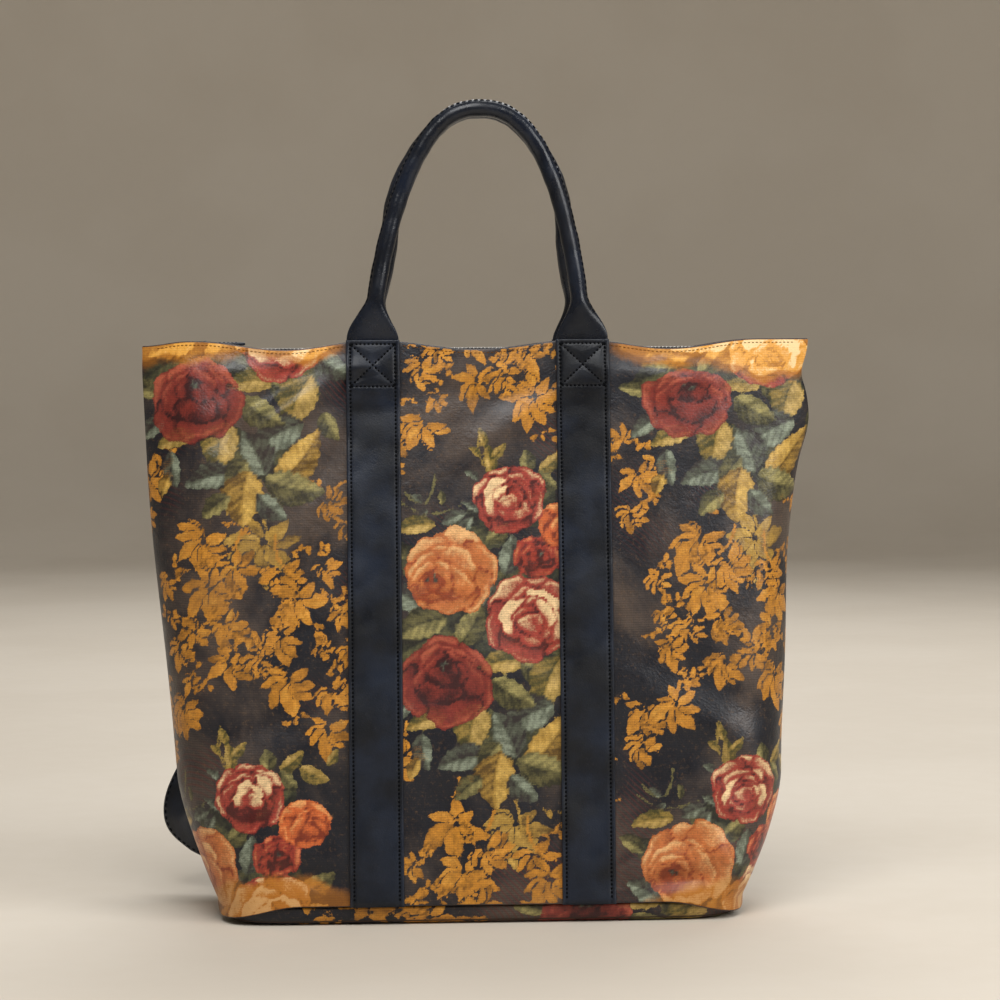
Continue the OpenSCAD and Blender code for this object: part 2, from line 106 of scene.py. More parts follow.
# Stitches: pitch, length and thickness, and how far in from the edge they run. Then the share of the
# half width that the rim's rows reach, and how deep others sink.
STRAP_STITCH, STRAP_STITCH_IN = (2.6 * MM, 1.8 * MM, 1.25 * MM), 2.9 * MM
SHOULDER_STITCH, SHOULDER_STITCH_IN = (4.4 * MM, 3.2 * MM, 0.8 * MM), 3 * MM
PATCH_STITCH, PATCH_STITCH_IN = (3.6 * MM, 2.6 * MM, 0.75 * MM), 2.6 * MM
PULL_STITCH, PULL_STITCH_IN = (2.4 * MM, 1.7 * MM, 0.5 * MM), 1.3 * MM
RIM_STITCH, RIM_STITCH_IN = (2.7 * MM, 1.9 * MM, 0.5 * MM), 2.6 * MM
HANDLE_STITCH = (4.0 * MM, 2.8 * MM, 0.55 * MM)
RIM_STITCH_END = 0.955
STRAP_STITCH_SINK = 0.40 * MM
PATCH_STITCH_SINK = 0.2 * MM

# Density of the printed pieces' grids, and the shares of the half width that sample a wall
PANEL_COLS = 328
PANEL_ROWS = 240
INNER_ROWS = 44
BASE_COLS = 160
WALL_SHARES = np.sin(np.linspace(-math.pi / 2, math.pi / 2, 1601))


def mix(a, b, s):
    return a + (b - a) * s


def clamp(s):
    return np.clip(s, 0.0, 1.0)


def ease(s):
    s = clamp(s)
    return s * s * (3 - 2 * s)


def bell(d):
    """A soft bump that is 1 at 0 and falls away past 1."""
    return np.exp(-np.square(d))


def unit(v):
    return v / np.linalg.norm(v, axis=-1, keepdims=True)


# The body's outline, as in the part's source


def rise(z):
    return clamp((z - SEAM_Z) / (BODY_H - SEAM_Z))


def half_width(z):
    low = mix(HIP_W, BASE_W, clamp((HIP_Z - z) / (HIP_Z - SEAM_Z)) ** HIP_POWER)
    high = mix(HIP_W, MOUTH_W, clamp((z - HIP_Z) / (BODY_H - HIP_Z)))
    return np.where(z < HIP_Z, low, high) / 2


def half_depth(z):
    return mix(BASE_D, MOUTH_D, rise(z)) / 2 + BELLY * np.sin(math.pi * rise(z))


def depth_share(s, z):
    """Depth of the wall at a share s of the half width, as a share of the half depth."""
    square = mix(BASE_SQUARE, MOUTH_SQUARE, rise(z))
    roundness = mix(BASE_ROUND, MOUTH_ROUND, rise(z))
    return np.maximum(1 - np.abs(s) ** square, 0) ** (1 / roundness)


def rim_height(x):
    droop = LEFT_DROOP * ease((-x / (MOUTH_W / 2) - 0.86) / 0.14)
    x = np.abs(x)
    middle = RIM_DIP * np.cos(0.5 * math.pi * clamp(x / STRAP_X)) ** 2
    side = RIM_DIP * np.sin(math.pi * clamp((x - STRAP_X) / (RIM_CALM_X - STRAP_X))) ** 2
    return BODY_H - np.where(x < STRAP_X, middle, side) - droop


# Soft creases: across and up shares, slant in degrees, then length, width and depth in millimetres
CREASES = (
    (-0.57, 0.880, 34, 46, 9, 5.4),
    (-0.73, 0.835, 40, 15, 9, -5.5),
    (-0.45, 0.780, 62, 24, 6, -2.2),
    (-0.87, 0.860, 75, 34, 22, 4.0),
    (-0.40, 0.960, -8, 34, 7, 2.6),
    (0.00, 0.930, 4, 40, 16, -3.0),
    (0.12, 0.865, 35, 36, 10, 2.4),
    (0.58, 0.935, -4, 36, 9, 3.4),
    (0.74, 0.800, 52, 44, 13, -2.6),
    (0.90, 0.660, 80, 60, 14, 3.0),
    (0.48, 0.640, 70, 60, 14, 2.2),
    (-0.90, 0.520, 84, 70, 15, -2.8),
    (-0.50, 0.480, 66, 60, 16, 2.2),
    (-0.62, 0.260, 20, 60, 16, 2.4),
    (0.04, 0.420, -30, 46, 18, 2.0),
    (0.02, 0.200, 12, 50, 20, -2.2),
    (0.62, 0.330, -28, 60, 15, 2.8),
    (0.80, 0.180, -50, 44, 12, -2.8),
    (0.59, 0.040, 10, 22, 8, -4.5),
    (0.47, 0.060, 60, 20, 8, 2.6),
    (0.72, 0.075, -55, 24, 9, 3.2),
    (-0.72, 0.090, 42, 36, 11, 2.8),
    (-0.50, 0.050, -12, 30, 9, -2.0),
)

# Swells of the two side seams: millimetres outwards, and the height and half length of each in metres
RIGHT_SWELLS = ((4.6, 0.322, 0.020), (-3.0, 0.355, 0.010), (-3.6, 0.240, 0.055), (3.0, 0.055, 0.045))
LEFT_SWELLS = ((3.4, 0.262, 0.085), (-1.0, 0.372, 0.010))


def side_wave(side, z):
    """How far the soft side seam strays outwards from its straight run."""
    right = sum(out * bell((z - height) / over) for out, height, over in RIGHT_SWELLS)
    left = sum(out * bell((z - height) / over) for out, height, over in LEFT_SWELLS)
    return np.where(side > 0, right, left) * MM


def slack(x, z, mirrored):
    """How far the soft leather stands out from its taut form, at rest."""
    across = x / (MOUTH_W / 2)
    up = rise(z)
    flip = -1 if mirrored else 1
    out = 1.5 * MM * np.sin(5.1 * across * flip + 2.0) * np.sin(4.3 * up + 0.6)
    out = out + 1.0 * MM * np.sin(9.7 * across * flip - 5.2 * up + 1.1)
    for a, u, slant, length, width, depth in CREASES:
        dx = x - flip * a * MOUTH_W / 2
        dz = z - mix(SEAM_Z, BODY_H, u)
        c, s = math.cos(math.radians(slant) * flip), math.sin(math.radians(slant) * flip)
        along = (dx * c + dz * s) / (length * MM)
        aside = (dz * c - dx * s) / (width * MM)
        out = out + depth * MM * bell(along) * (bell(aside) - 0.5 * bell(aside - 1.5))
    gathers = np.sin(across * 34 + 1.7) * 0.6 + np.sin(across * 57 + 0.4) * 0.4
    out = out + 1.1 * MM * gathers * ease((up - 0.86) / 0.1) * (1 - ease((up - 0.975) / 0.025))
    out = out * ease(up / 0.045) * (1 - 0.9 * ease((up - 0.945) / 0.035))
    out = mix(out, np.maximum(out, -0.2 * MM), ease((up - 0.88) / 0.07))
    return out * (1 - ease((np.abs(across) - 0.82) / 0.15))


def skin_depth(x, z, mirrored=False):
    """Distance of a panel's outer face from the middle plane of the bag."""
    taut = half_depth(z) * depth_share(clamp(np.abs(x) / half_width(z)), z)
    return taut + SEAM_GAP / 2 + slack(x, z, mirrored)


# Meshes


def mesh_piece(name, points, faces, material, body="bag"):
    mesh = bpy.data.meshes.new(name)
    mesh.from_pydata([tuple(p) for p in np.asarray(points, float)], [], [tuple(f) for f in faces])
    mesh.validate()
    mesh.update()
    mesh.shade_smooth()
    piece = bpy.data.objects.new(name, mesh)
    bpy.context.scene.collection.objects.link(piece)
    mesh.materials.append(material)
    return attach(piece, body)


def grid_faces(rows, cols, wrap_rows=False, wrap_cols=False, first=0):
    """Quads of a grid of points stored row by row."""
    j = np.arange(rows if wrap_rows else rows - 1)
    i = np.arange(cols if wrap_cols else cols - 1)
    jj, ii = np.meshgrid(j, i, indexing="ij")
    j1, i1 = (jj + 1) % rows, (ii + 1) % cols
    quads = np.stack([jj * cols + ii, jj * cols + i1, j1 * cols + i1, j1 * cols + ii], -1)
    return (quads.reshape(-1, 4) + first).tolist()


def cap_faces(rows, cols, first=0):
    """Two faces that close the ends of a grid whose rows are rings."""
    last = first + (rows - 1) * cols
    return [[first + k for k in range(cols)][::-1], [last + k for k in range(cols)]]


def add_part(points, faces, part):
    """Joins the points and faces of a part to those of a larger piece."""
    more_points, more_faces = part
    faces += [[v + len(points) for v in face] for face in more_faces]
    points += more_points


def set_field(piece, name, values):
    """Stores one number or colour for each vertex."""
    values = np.asarray(values, np.float32)
    kind = "FLOAT" if values.ndim == 1 else "FLOAT_COLOR"
    layer = piece.data.attributes.new(name, kind, "POINT")
    if values.ndim == 1:
        layer.data.foreach_set("value", values)
    else:
        rgba = np.ones((len(values), 4), np.float32)
        rgba[:, :3] = values
        layer.data.foreach_set("color", rgba.ravel())


def sweep(name, rings, material):
    """A closed skin over rings of points, all of one length."""
    count, sides = rings.shape[:2]
    faces = grid_faces(count, sides, wrap_cols=True) + cap_faces(count, sides)
    return mesh_piece(name, rings.reshape(-1, 3), faces, material)


def stitch_row(path, normal, pitch, length, thread):
    """Points and faces of short stitches that lie along a path, half sunk in the leather."""
    path = np.asarray(path, float)
    normal = np.broadcast_to(np.asarray(normal, float), path.shape)
    steps = np.linalg.norm(np.diff(path, axis=0), axis=1)
    at = np.concatenate([[0], np.cumsum(steps)])
    count = max(int(at[-1] / pitch), 1)
    points, faces = [], []
    sides = 6
    profile = ((-0.5, 0.25, -0.5), (-0.32, 0.9, 0.25), (0, 1, 0.5), (0.32, 0.9, 0.25), (0.5, 0.25, -0.5))

    def value_at(values, place):
        return np.array([np.interp(place, at, values[:, c]) for c in range(3)])

    for k in range(count):
        mid = (k + 0.5) * at[-1] / count
        centre = value_at(path, mid)
        out = unit(value_at(normal, mid))
        along = unit(value_at(path, mid + pitch / 4) - value_at(path, mid - pitch / 4))
        side = np.cross(along, out)
        first = len(points)
        for reach, fat, lift in profile:
            hub = centre + along * reach * length + out * lift * thread * 0.5
            for m in range(sides):
                a = 2 * math.pi * m / sides
                points.append(hub + fat * thread / 2 * (side * math.cos(a) + out * math.sin(a)))
        faces += grid_faces(len(profile), sides, wrap_cols=True, first=first)
        faces += cap_faces(len(profile), sides, first)
    return points, faces


def stitches(name, rows, material, stitch, body="bag"):
    """One piece with every row of stitches in it; each row is a path and its outward normal."""
    points, faces = [], []
    for path, normal in rows:
        add_part(points, faces, stitch_row(path, normal, *stitch))
    piece = mesh_piece(name, points, faces, material, body)


# Materials

# Layers of the print, the lowest first, how far haze fades each, and the shades of its colours
LAYERS = ("gold", "leaf", "rose")
LAYER_FADING = {"gold": 0.72, "leaf": 0.92, "rose": 1.0}
SHADES = ("dark", "mid", "light")


def srgb(code):
    """Linear colour of a six-digit sRGB code."""
    parts = np.array([int(code[k:k + 2], 16) for k in (0, 2, 4)]) / 255
    return np.where(parts <= 0.04045, parts / 12.92, ((parts + 0.055) / 1.055) ** 2.4)


def rgba(code):
    return (*srgb(code).tolist(), 1.0)


class Shader:
    """A material's node tree with short calls for its nodes."""

    def __init__(self, name):
        self.material = bpy.data.materials.new(name)
        self.material.use_nodes = True
        self.tree = self.material.node_tree
        self.surface = self.tree.nodes["Principled BSDF"]
        self.place = self.node("ShaderNodeTexCoord").outputs["Object"]

    def node(self, kind, inputs=(), **settings):
        made = self.tree.nodes.new(kind)
        for key, value in settings.items():
            setattr(made, key, value)
        for key, value in dict(inputs).items():
            self.feed(made.inputs[key], value)
        return made

    def feed(self, socket, value):
        if isinstance(value, bpy.types.NodeSocket):
            self.tree.links.new(value, socket)
        else:
            socket.default_value = value

    def set(self, **inputs):
        for key, value in inputs.items():
            self.feed(self.surface.inputs[key.replace("_", " ")], value)

    def math(self, operation, a, b=0.0):
        return self.node("ShaderNodeMath", {0: a, 1: b}, operation=operation).outputs[0]

    def noise(self, scale, detail=2.0, rough=0.5, distort=0.0):
        inputs = {"Vector": self.place, "Scale": scale, "Detail": detail,
                  "Roughness": rough, "Distortion": distort}
        return self.node("ShaderNodeTexNoise", inputs).outputs["Fac"]

    def wobble(self, scale, detail, rough, size):
        """Noise that strays to both sides of zero."""
        return self.math("MULTIPLY", self.math("SUBTRACT", self.noise(scale, detail, rough), 0.5), size)

    def cells(self, scale):
        inputs = {"Vector": self.place, "Scale": scale}
        return self.node("ShaderNodeTexVoronoi", inputs, feature="F1").outputs["Distance"]

    def bands(self, scale, direction="Z", distort=0.0, detail_scale=1.0):
        inputs = {"Vector": self.place, "Scale": scale, "Distortion": distort,
                  "Detail": 2.0, "Detail Scale": detail_scale}
        return self.node("ShaderNodeTexWave", inputs, wave_type="BANDS",
                         bands_direction=direction).outputs["Fac"]

    def remap(self, value, low, high, to_low=0.0, to_high=1.0, smooth=True):
        inputs = {"Value": value, "From Min": low, "From Max": high, "To Min": to_low, "To Max": to_high}
        kind = "SMOOTHSTEP" if smooth else "LINEAR"
        return self.node("ShaderNodeMapRange", inputs, interpolation_type=kind).outputs["Result"]

    def blend(self, share, a, b, mode="MIX"):
        made = self.node("ShaderNodeMix", data_type="RGBA", blend_type=mode)
        self.feed(made.inputs["Factor"], share)
        self.feed(made.inputs[6], a)
        self.feed(made.inputs[7], b)
        return made.outputs[2]

    def field(self, name, colour=False):
        made = self.node("ShaderNodeAttribute", attribute_name=name)
        return made.outputs["Color" if colour else "Fac"]

    def bump(self, height, distance, strength=1.0, under=None):
        inputs = {"Height": height, "Distance": distance, "Strength": strength}
        if under is not None:
            inputs["Normal"] = under
        return self.node("ShaderNodeBump", inputs).outputs["Normal"]


def ground_colour(s, threads, haze):
    """The dark ground of the print, hazed with brown, flecked, and hatched in red in places."""
    ground = s.blend(s.math("MULTIPLY", haze, 0.85), rgba("12141d"), rgba("54473e"))
    fleck = s.remap(s.noise(420, 4.0, 0.75), 0.54, 0.70)
    ground = s.blend(s.math("MULTIPLY", fleck, 0.30), ground, rgba("75583a"))
    ground = s.blend(1.0, ground, s.remap(threads, 0.72, 1.0, 0.72, 1.12), "MULTIPLY")
    hatch = s.remap(s.bands(150, "DIAGONAL", 0.6), 0.62, 0.9)
    hatch = s.math("MULTIPLY", hatch, s.remap(s.noise(9, 2.0), 0.56, 0.66))
    return s.blend(s.math("MULTIPLY", hatch, 0.45), ground, rgba("5a2018"))


def layered_colour(s, colour, threads, haze):
    """The ground with the layers of the print over it, fuzzy at their edges and worn."""
    jitter = s.math("ADD", s.wobble(820, 3.0, 0.7, 2.6 * MM), s.wobble(270, 3.0, 0.6, 3.0 * MM))
    worn = s.remap(s.noise(520, 3.0, 0.7), 0.24, 0.40, 0.30, 1.0)
    tint = s.remap(s.noise(240, 3.0, 0.7), 0.25, 0.75, 0.76, 1.16)
    grainy = s.wobble(620, 3.0, 0.7, 0.55)
    for layer in LAYERS:
        edge = s.math("ADD", s.field(layer + "_edge"), jitter)
        cover = s.remap(edge, -0.25 * MM, 0.35 * MM)
        cover = s.math("MULTIPLY", cover, s.math("MULTIPLY", worn, threads))
        cover = s.math("MULTIPLY", cover, s.remap(haze, 0.35, 1.0, 1.0, LAYER_FADING[layer]))
        tone = s.math("ADD", s.field(layer + "_tone"), grainy)
        dark, mid, light = (s.field(layer + "_" + shade, True) for shade in SHADES)
        toned = s.blend(s.remap(tone, 0.05, 0.5), dark, mid)
        toned = s.blend(s.remap(tone, 0.5, 0.95), toned, light)
        toned = s.blend(1.0, toned, tint, "MULTIPLY")
        colour = s.blend(cover, colour, toned)
    return colour


def stained_colour(s, colour, threads):
    """The print under its ochre stain, which is brightest along the rim and pale on light petals."""
    red = s.node("ShaderNodeSeparateColor", {"Color": colour}).outputs["Red"]
    mottled = s.math("ADD", red, s.remap(s.noise(70, 4.0, 0.65), 0.3, 0.7, -0.07, 0.10, smooth=False))
    bright = s.remap(s.field("ochre"), 0.95, 1.25)
    low = s.blend(bright, rgba("7c4c16"), rgba("a86c24"))
    high = s.blend(bright, rgba("ae6e1e"), rgba("e6a544"))
    amber = s.blend(s.remap(mottled, 0.0, 0.22), low, high)
    pale = s.math("MULTIPLY", s.remap(mottled, 0.26, 0.62), s.remap(bright, 0.0, 1.0, 0.25, 1.0))
    amber = s.blend(pale, amber, rgba("f4d59c"))
    stain = s.remap(s.math("ADD", s.field("ochre"), s.wobble(150, 5.0, 0.75, 1.1)), 0.12, 0.90)
    stain = s.math("MULTIPLY", stain, s.remap(threads, 0.76, 1.0, 0.80, 0.96))
    return s.blend(stain, colour, amber)


def printed_leather():
    """Leather with a woven-looking floral print, its edges crisp from the fields on the mesh."""
    s = Shader("printed_leather")
    uneven = s.remap(s.noise(130, 3.0, 0.6), 0.3, 0.7, 0.6, 1.6)
    weft = s.remap(s.math("MULTIPLY", s.bands(205, "Z", 2.8, 3.0), uneven), 0.0, 0.5, 0.78, 1.0)
    warp = s.remap(s.math("MULTIPLY", s.bands(260, "X", 2.8, 3.0), uneven), 0.0, 0.5, 0.90, 1.0)
    threads = s.math("MULTIPLY", weft, warp)
    haze = s.remap(s.noise(11, 5.0, 0.62, distort=0.4), 0.44, 0.68)
    colour = ground_colour(s, threads, haze)
    colour = layered_colour(s, colour, threads, haze)
    colour = stained_colour(s, colour, threads)
    inside = s.field("inside")
    pebble = s.bump(s.cells(620), 0.16 * MM, 0.5)
    wrinkle = s.bump(s.noise(60, 5.0, 0.6, distort=0.6), 1.3 * MM, 0.6, pebble)
    rough = s.remap(s.noise(38, 4.0, 0.6), 0.3, 0.7, 0.30, 0.52, smooth=False)
    s.set(Base_Color=s.blend(inside, colour, rgba("3a2a20")))
    s.set(Normal=s.bump(s.noise(1500, 3.0, 0.6), 0.06 * MM, 0.6, wrinkle))
    s.set(Roughness=s.math("ADD", rough, s.math("MULTIPLY", inside, 0.3)), Specular_IOR_Level=0.42)
    return s.material


def navy_leather(name, base, lift, roughness, gloss):
    """Dark smooth leather with a fine grain, soft painted sheen and shade, and edges lighter from wear and
    a painted highlight.
    """
    s = Shader(name)
    # Painted sheen and shade: soft light and dark patches in the colour.
    painted_sheen_and_shade = s.remap(s.noise(24, 4.0, 0.6), 0.35, 0.72)
    colour = s.blend(s.math("MULTIPLY", painted_sheen_and_shade, 0.8), rgba(base), rgba(lift))
    speck = s.remap(s.noise(700, 3.0, 0.7), 0.60, 0.74)
    colour = s.blend(s.math("MULTIPLY", speck, 0.25), colour, rgba("323a49"))
    # Lighter on sharp edges: partly rubbed wear, partly a painted edge highlight.
    worn = s.remap(s.node("ShaderNodeNewGeometry").outputs["Pointiness"], 0.52, 0.60)
    colour = s.blend(s.math("MULTIPLY", worn, 0.4), colour, rgba("39404e"))
    s.set(Base_Color=colour)
    pores = s.bump(s.cells(950), 0.10 * MM, 0.55)
    waves = s.bump(s.noise(15, 2.0, 0.5), 9 * MM, 0.9, pores)
    soft = s.bump(s.noise(120, 5.0, 0.65), 0.35 * MM, 0.5, waves)
    s.set(Normal=s.bump(s.noise(2200, 2.0), 0.04 * MM, 0.5, soft))
    rough = s.remap(s.noise(60, 4.0), 0.3, 0.7, roughness - 0.08, roughness + 0.12, smooth=False)
    s.set(Roughness=rough, Specular_IOR_Level=gloss)
    return s.material


def thread_material(name, code):
    s = Shader(name)
    twist = s.bands(1400, "DIAGONAL", 0.4)
    s.set(Base_Color=s.blend(s.math("MULTIPLY", twist, 0.5), rgba(code), rgba("05070a")))
    s.set(Roughness=s.remap(twist, 0.0, 1.0, 0.65, 0.85), Normal=s.bump(twist, 0.1 * MM, 0.6))
    s.set(Specular_IOR_Level=0.08)
    return s.material


def zip_cloth():
    s = Shader("zip_cloth")
    rib = s.bands(520, "X")
    cross = s.bands(760, "Y")
    weave = s.math("MULTIPLY", rib, cross)
    s.set(Base_Color=s.blend(weave, rgba("0b0e15"), rgba("222836")))
    s.set(Roughness=s.remap(s.noise(300), 0.3, 0.7, 0.72, 0.92), Normal=s.bump(weave, 0.25 * MM, 0.8))
    return s.material


def metal(name, code, roughness):
    s = Shader(name)
    s.set(Metallic=1.0)
    stain = s.remap(s.noise(160, 4.0), 0.4, 0.7)
    s.set(Base_Color=s.blend(s.math("MULTIPLY", stain, 0.3), rgba(code), rgba("8d8a84")))
    s.set(Roughness=s.remap(s.noise(900, 3.0), 0.3, 0.7, roughness - 0.06, roughness + 0.12))
    s.set(Normal=s.bump(s.noise(1300, 2.0), 0.03 * MM, 0.4))
    return s.material


PRINT = printed_leather()
NAVY = navy_leather("navy_leather", "050911", "172132", roughness=0.42, gloss=0.34)
NAVY_HANDLE = navy_leather("navy_handle", "070c15", "131c2c", roughness=0.25, gloss=0.38)
NAVY_THREAD = thread_material("navy_thread", "07090d")
BROWN_THREAD = thread_material("brown_thread", "84551f")
TAPE = zip_cloth()
ZIP_METAL = metal("zip_metal", "8e8b85", roughness=0.36)
STRAP_METAL = metal("strap_metal", "b9b7b2", roughness=0.30)

# The print: a half-drop repeat of one bouquet of roses with a fall of gold leaves under it.
# Lengths of the print are in millimetres on the flat leather.

REPEAT_ACROSS = 161.4
REPEAT_UP = 182.0
# How far the lower rows stray, and how much the slack at the right end of the rim takes up
LOW_ROWS_SHIFT = (-8.5, -9.0)
GATHERED = 16.0
# Depth of a point that no shape covers, and how far a shape's shadow reaches
FAR_OUT = -9.0
SHADOW_W = 2.2
# How far a bouquet reaches to its sides, upwards and downwards, and the rows and columns to either side
BOUQUET_ASIDE, BOUQUET_ABOVE, BOUQUET_BELOW = 130, 170, 250
REPEATS = 4
# How far a stem's points can lie from its middle, half its thickness, and the steps along it
STEM_REACH, STEM_HALF, STEM_STEPS = 26, 0.9, 26

ROSE_COLOURS = {
    "crimson": ("381315", "7d2e25", "a9523c"),
    "cream": ("4d1614", "9c3a2e", "ecca98"),
    "peach": ("8c3c1c", "bd6d38", "e3af74"),
    "orange": ("7d2f14", "c8622e", "e8a262"),
    "red": ("4a1714", "9a3626", "d47a4e"),
}
LEAF_COLOURS = {
    "shade": ("1c1d17", "393a28", "5d5a39"),
    "olive": ("2d2c1b", "66603a", "a0955c"),
    "grey": ("302a28", "565b4c", "8d9682"),
    "yellow": ("46421e", "937a3a", "c6a660"),
    "gilt": ("5e4519", "a8843a", "d3ac58"),
    "gold": ("85581a", "c2832a", "dda142"),
}
# Across, up, radius, flattening, place of the heart, colours, tone
ROSES = (
    (0.0, 0.0, 33, 0.86, (0.0, 0.34), "crimson", 0.55),
    (55.6, 39.5, 31, 0.96, (0.05, 0.05), "cream", 0.46),
    (4.4, 70.2, 32, 0.88, (-0.42, -0.16), "peach", 0.54),
    (60.0, 79.0, 17, 0.80, (0.1, 0.15), "red", 0.56),
    (78.5, 100.0, 18, 0.86, (0.35, -0.2), "orange", 0.54),
    (42.4, 117.0, 25, 0.90, (0.0, 0.05), "cream", 0.46),
)
# Rings of a rose: count of petals, then their distance, width, height and pull to the heart, as shares
PETAL_RINGS = ((6, 0.55, 0.52, 0.42, 0.0), (5, 0.34, 0.42, 0.35, 0.42), (4, 0.17, 0.29, 0.24, 0.84))
# Across, up, length, width, direction of the tip in degrees, colours
LEAVES = (
    (22, 58, 50, 32, 30, "shade"), (-8, 40, 46, 28, 140, "shade"), (50, 62, 44, 30, 80, "shade"),
    (38, 22, 46, 28, -20, "shade"), (20, 96, 44, 26, 160, "shade"), (66, 60, 40, 26, 100, "shade"),
    (70, 20, 44, 26, -60, "shade"), (-20, 20, 40, 24, 210, "shade"), (24, -40, 46, 28, -100, "shade"),
    (56, -44, 44, 28, -60, "shade"), (60, 112, 34, 22, 40, "shade"), (-22, 76, 30, 20, 120, "shade"),
    (29, 143, 22, 9, 100, "yellow"), (25, 156, 14, 6, 112, "yellow"), (36, 148, 14, 7, 48, "yellow"),
    (20, 147, 11, 5, 140, "yellow"), (54, 141, 16, 12, 95, "olive"), (96, 143, 14, 7, 60, "yellow"),
    (18, 132, 12, 6, 150, "grey"), (-18, 117, 11, 5, 140, "grey"), (-14, 107, 10, 5, 220, "grey"),
    (6, 104, 19, 10, 205, "grey"), (14, 98, 17, 9, 245, "grey"), (17, 112, 15, 7, 150, "grey"),
    (-2, 118, 11, 5, 95, "olive"), (42, 81, 26, 18, 80, "grey"), (35, 95, 20, 12, 40, "olive"),
    (-20, 98, 30, 13, 190, "yellow"), (-34, 84, 20, 12, 150, "olive"), (-24, 52, 32, 20, 150, "grey"),
    (-16, 34, 36, 22, 200, "olive"), (16, 36, 32, 20, 60, "olive"), (29, 58, 24, 14, 70, "grey"),
    (86, 62, 28, 16, 30, "olive"), (90, 22, 32, 19, -30, "grey"), (84, 44, 22, 14, 20, "yellow"),
    (36, 10, 34, 17, 188, "yellow"), (60, 5, 26, 16, -30, "olive"), (68, -2, 38, 27, -112, "yellow"),
    (-36, 6, 24, 14, 170, "olive"), (-30, -20, 24, 13, 215, "grey"), (-13, -27, 30, 14, 200, "yellow"),
    (18, -31, 34, 26, -100, "yellow"), (53, -25, 40, 25, -150, "grey"), (38, -35, 34, 22, 118, "grey"),
    (88, -18, 22, 14, -60, "olive"), (66, -38, 48, 24, 52, "gilt"), (10, -52, 36, 19, 195, "grey"),
    (70, 141, 22, 10, 41, "yellow"), (85, 132, 22, 12, -25, "yellow"), (68, 128, 18, 11, -43, "olive"),
    (44, -8, 34, 20, -30, "olive"), (-14, -46, 26, 14, -80, "grey"), (-21, -57, 16, 10, -110, "gilt"),
    (28, -50, 24, 16, -120, "olive"), (65, -56, 42, 23, -12, "olive"), (33, -65, 38, 28, -95, "gilt"),
    (50, -70, 26, 16, -40, "grey"), (14, -70, 24, 14, -140, "olive"),
)
# Across, up, radius, direction of the middle lobe, colours
SPRAYS = (
    (44, -92, 34, -92, "gilt"), (6, -92, 29, -112, "gold"), (10, -122, 29, -80, "gold"),
    (26, -108, 22, -50, "gold"), (56, -112, 22, -70, "gold"), (66, -128, 28, -95, "gold"),
    (20, -144, 19, -60, "gold"), (-1, -150, 18, -130, "gold"), (56, -152, 22, -100, "gold"),
    (22, -171, 22, -90, "gold"), (60, -181, 28, -98, "gold"), (-3, -182, 14, -120, "gold"),
    (38, -160, 15, 20, "gold"), (88, -188, 19, -60, "gold"), (85, -212, 24, -95, "gold"),
    (95, -138, 15, -80, "gold"), (86, -66, 17, -30, "gold"), (98, -82, 12, -80, "gold"),
    (-23, -44, 17, -100, "gold"), (-14, -162, 18, -95, "gold"), (-31, -203, 23, -85, "gold"),
    (-34, -225, 18, -100, "gold"), (-35, -50, 22, -70, "gold"), (-45, -28, 15, 120, "gold"),
    (-40, -75, 16, -95, "gold"), (-12, -199, 24, -105, "gold"), (42, -168, 17, -140, "gold"),
    (80, -160, 14, -20, "gold"), (102, -162, 15, -120, "gold"), (-22, -118, 15, -120, "gold"),
    (84, -108, 15, -60, "gold"), (-20, -140, 12, -70, "gold"),
)
# Start, end and sideways bend of the thin stems, with their colours
STEMS = (
    (30, 132, 24, 162, 3, "yellow"), (30, 138, 40, 152, -2, "yellow"), (10, 112, -30, 116, 4, "olive"),
    (-12, 114, -6, 132, -2, "olive"), (-16, 114, -26, 122, 2, "olive"), (44, -78, 46, -104, 2, "gilt"),
    (30, -84, 8, -104, 5, "gold"), (52, -88, 70, -116, -5, "gold"), (88, -60, 110, -52, 3, "gold"),
    (84, -72, 112, -78, -4, "gold"), (18, -128, 4, -146, 3, "gold"), (60, -136, 50, -160, -3, "gold"),
)


def palette_of(codes):
    return [srgb(code) for code in codes]


def moved(x, y, direction, length):
    """The place at a length from another one, in a direction in degrees."""
    a = math.radians(direction)
    return x + math.cos(a) * length, y + math.sin(a) * length


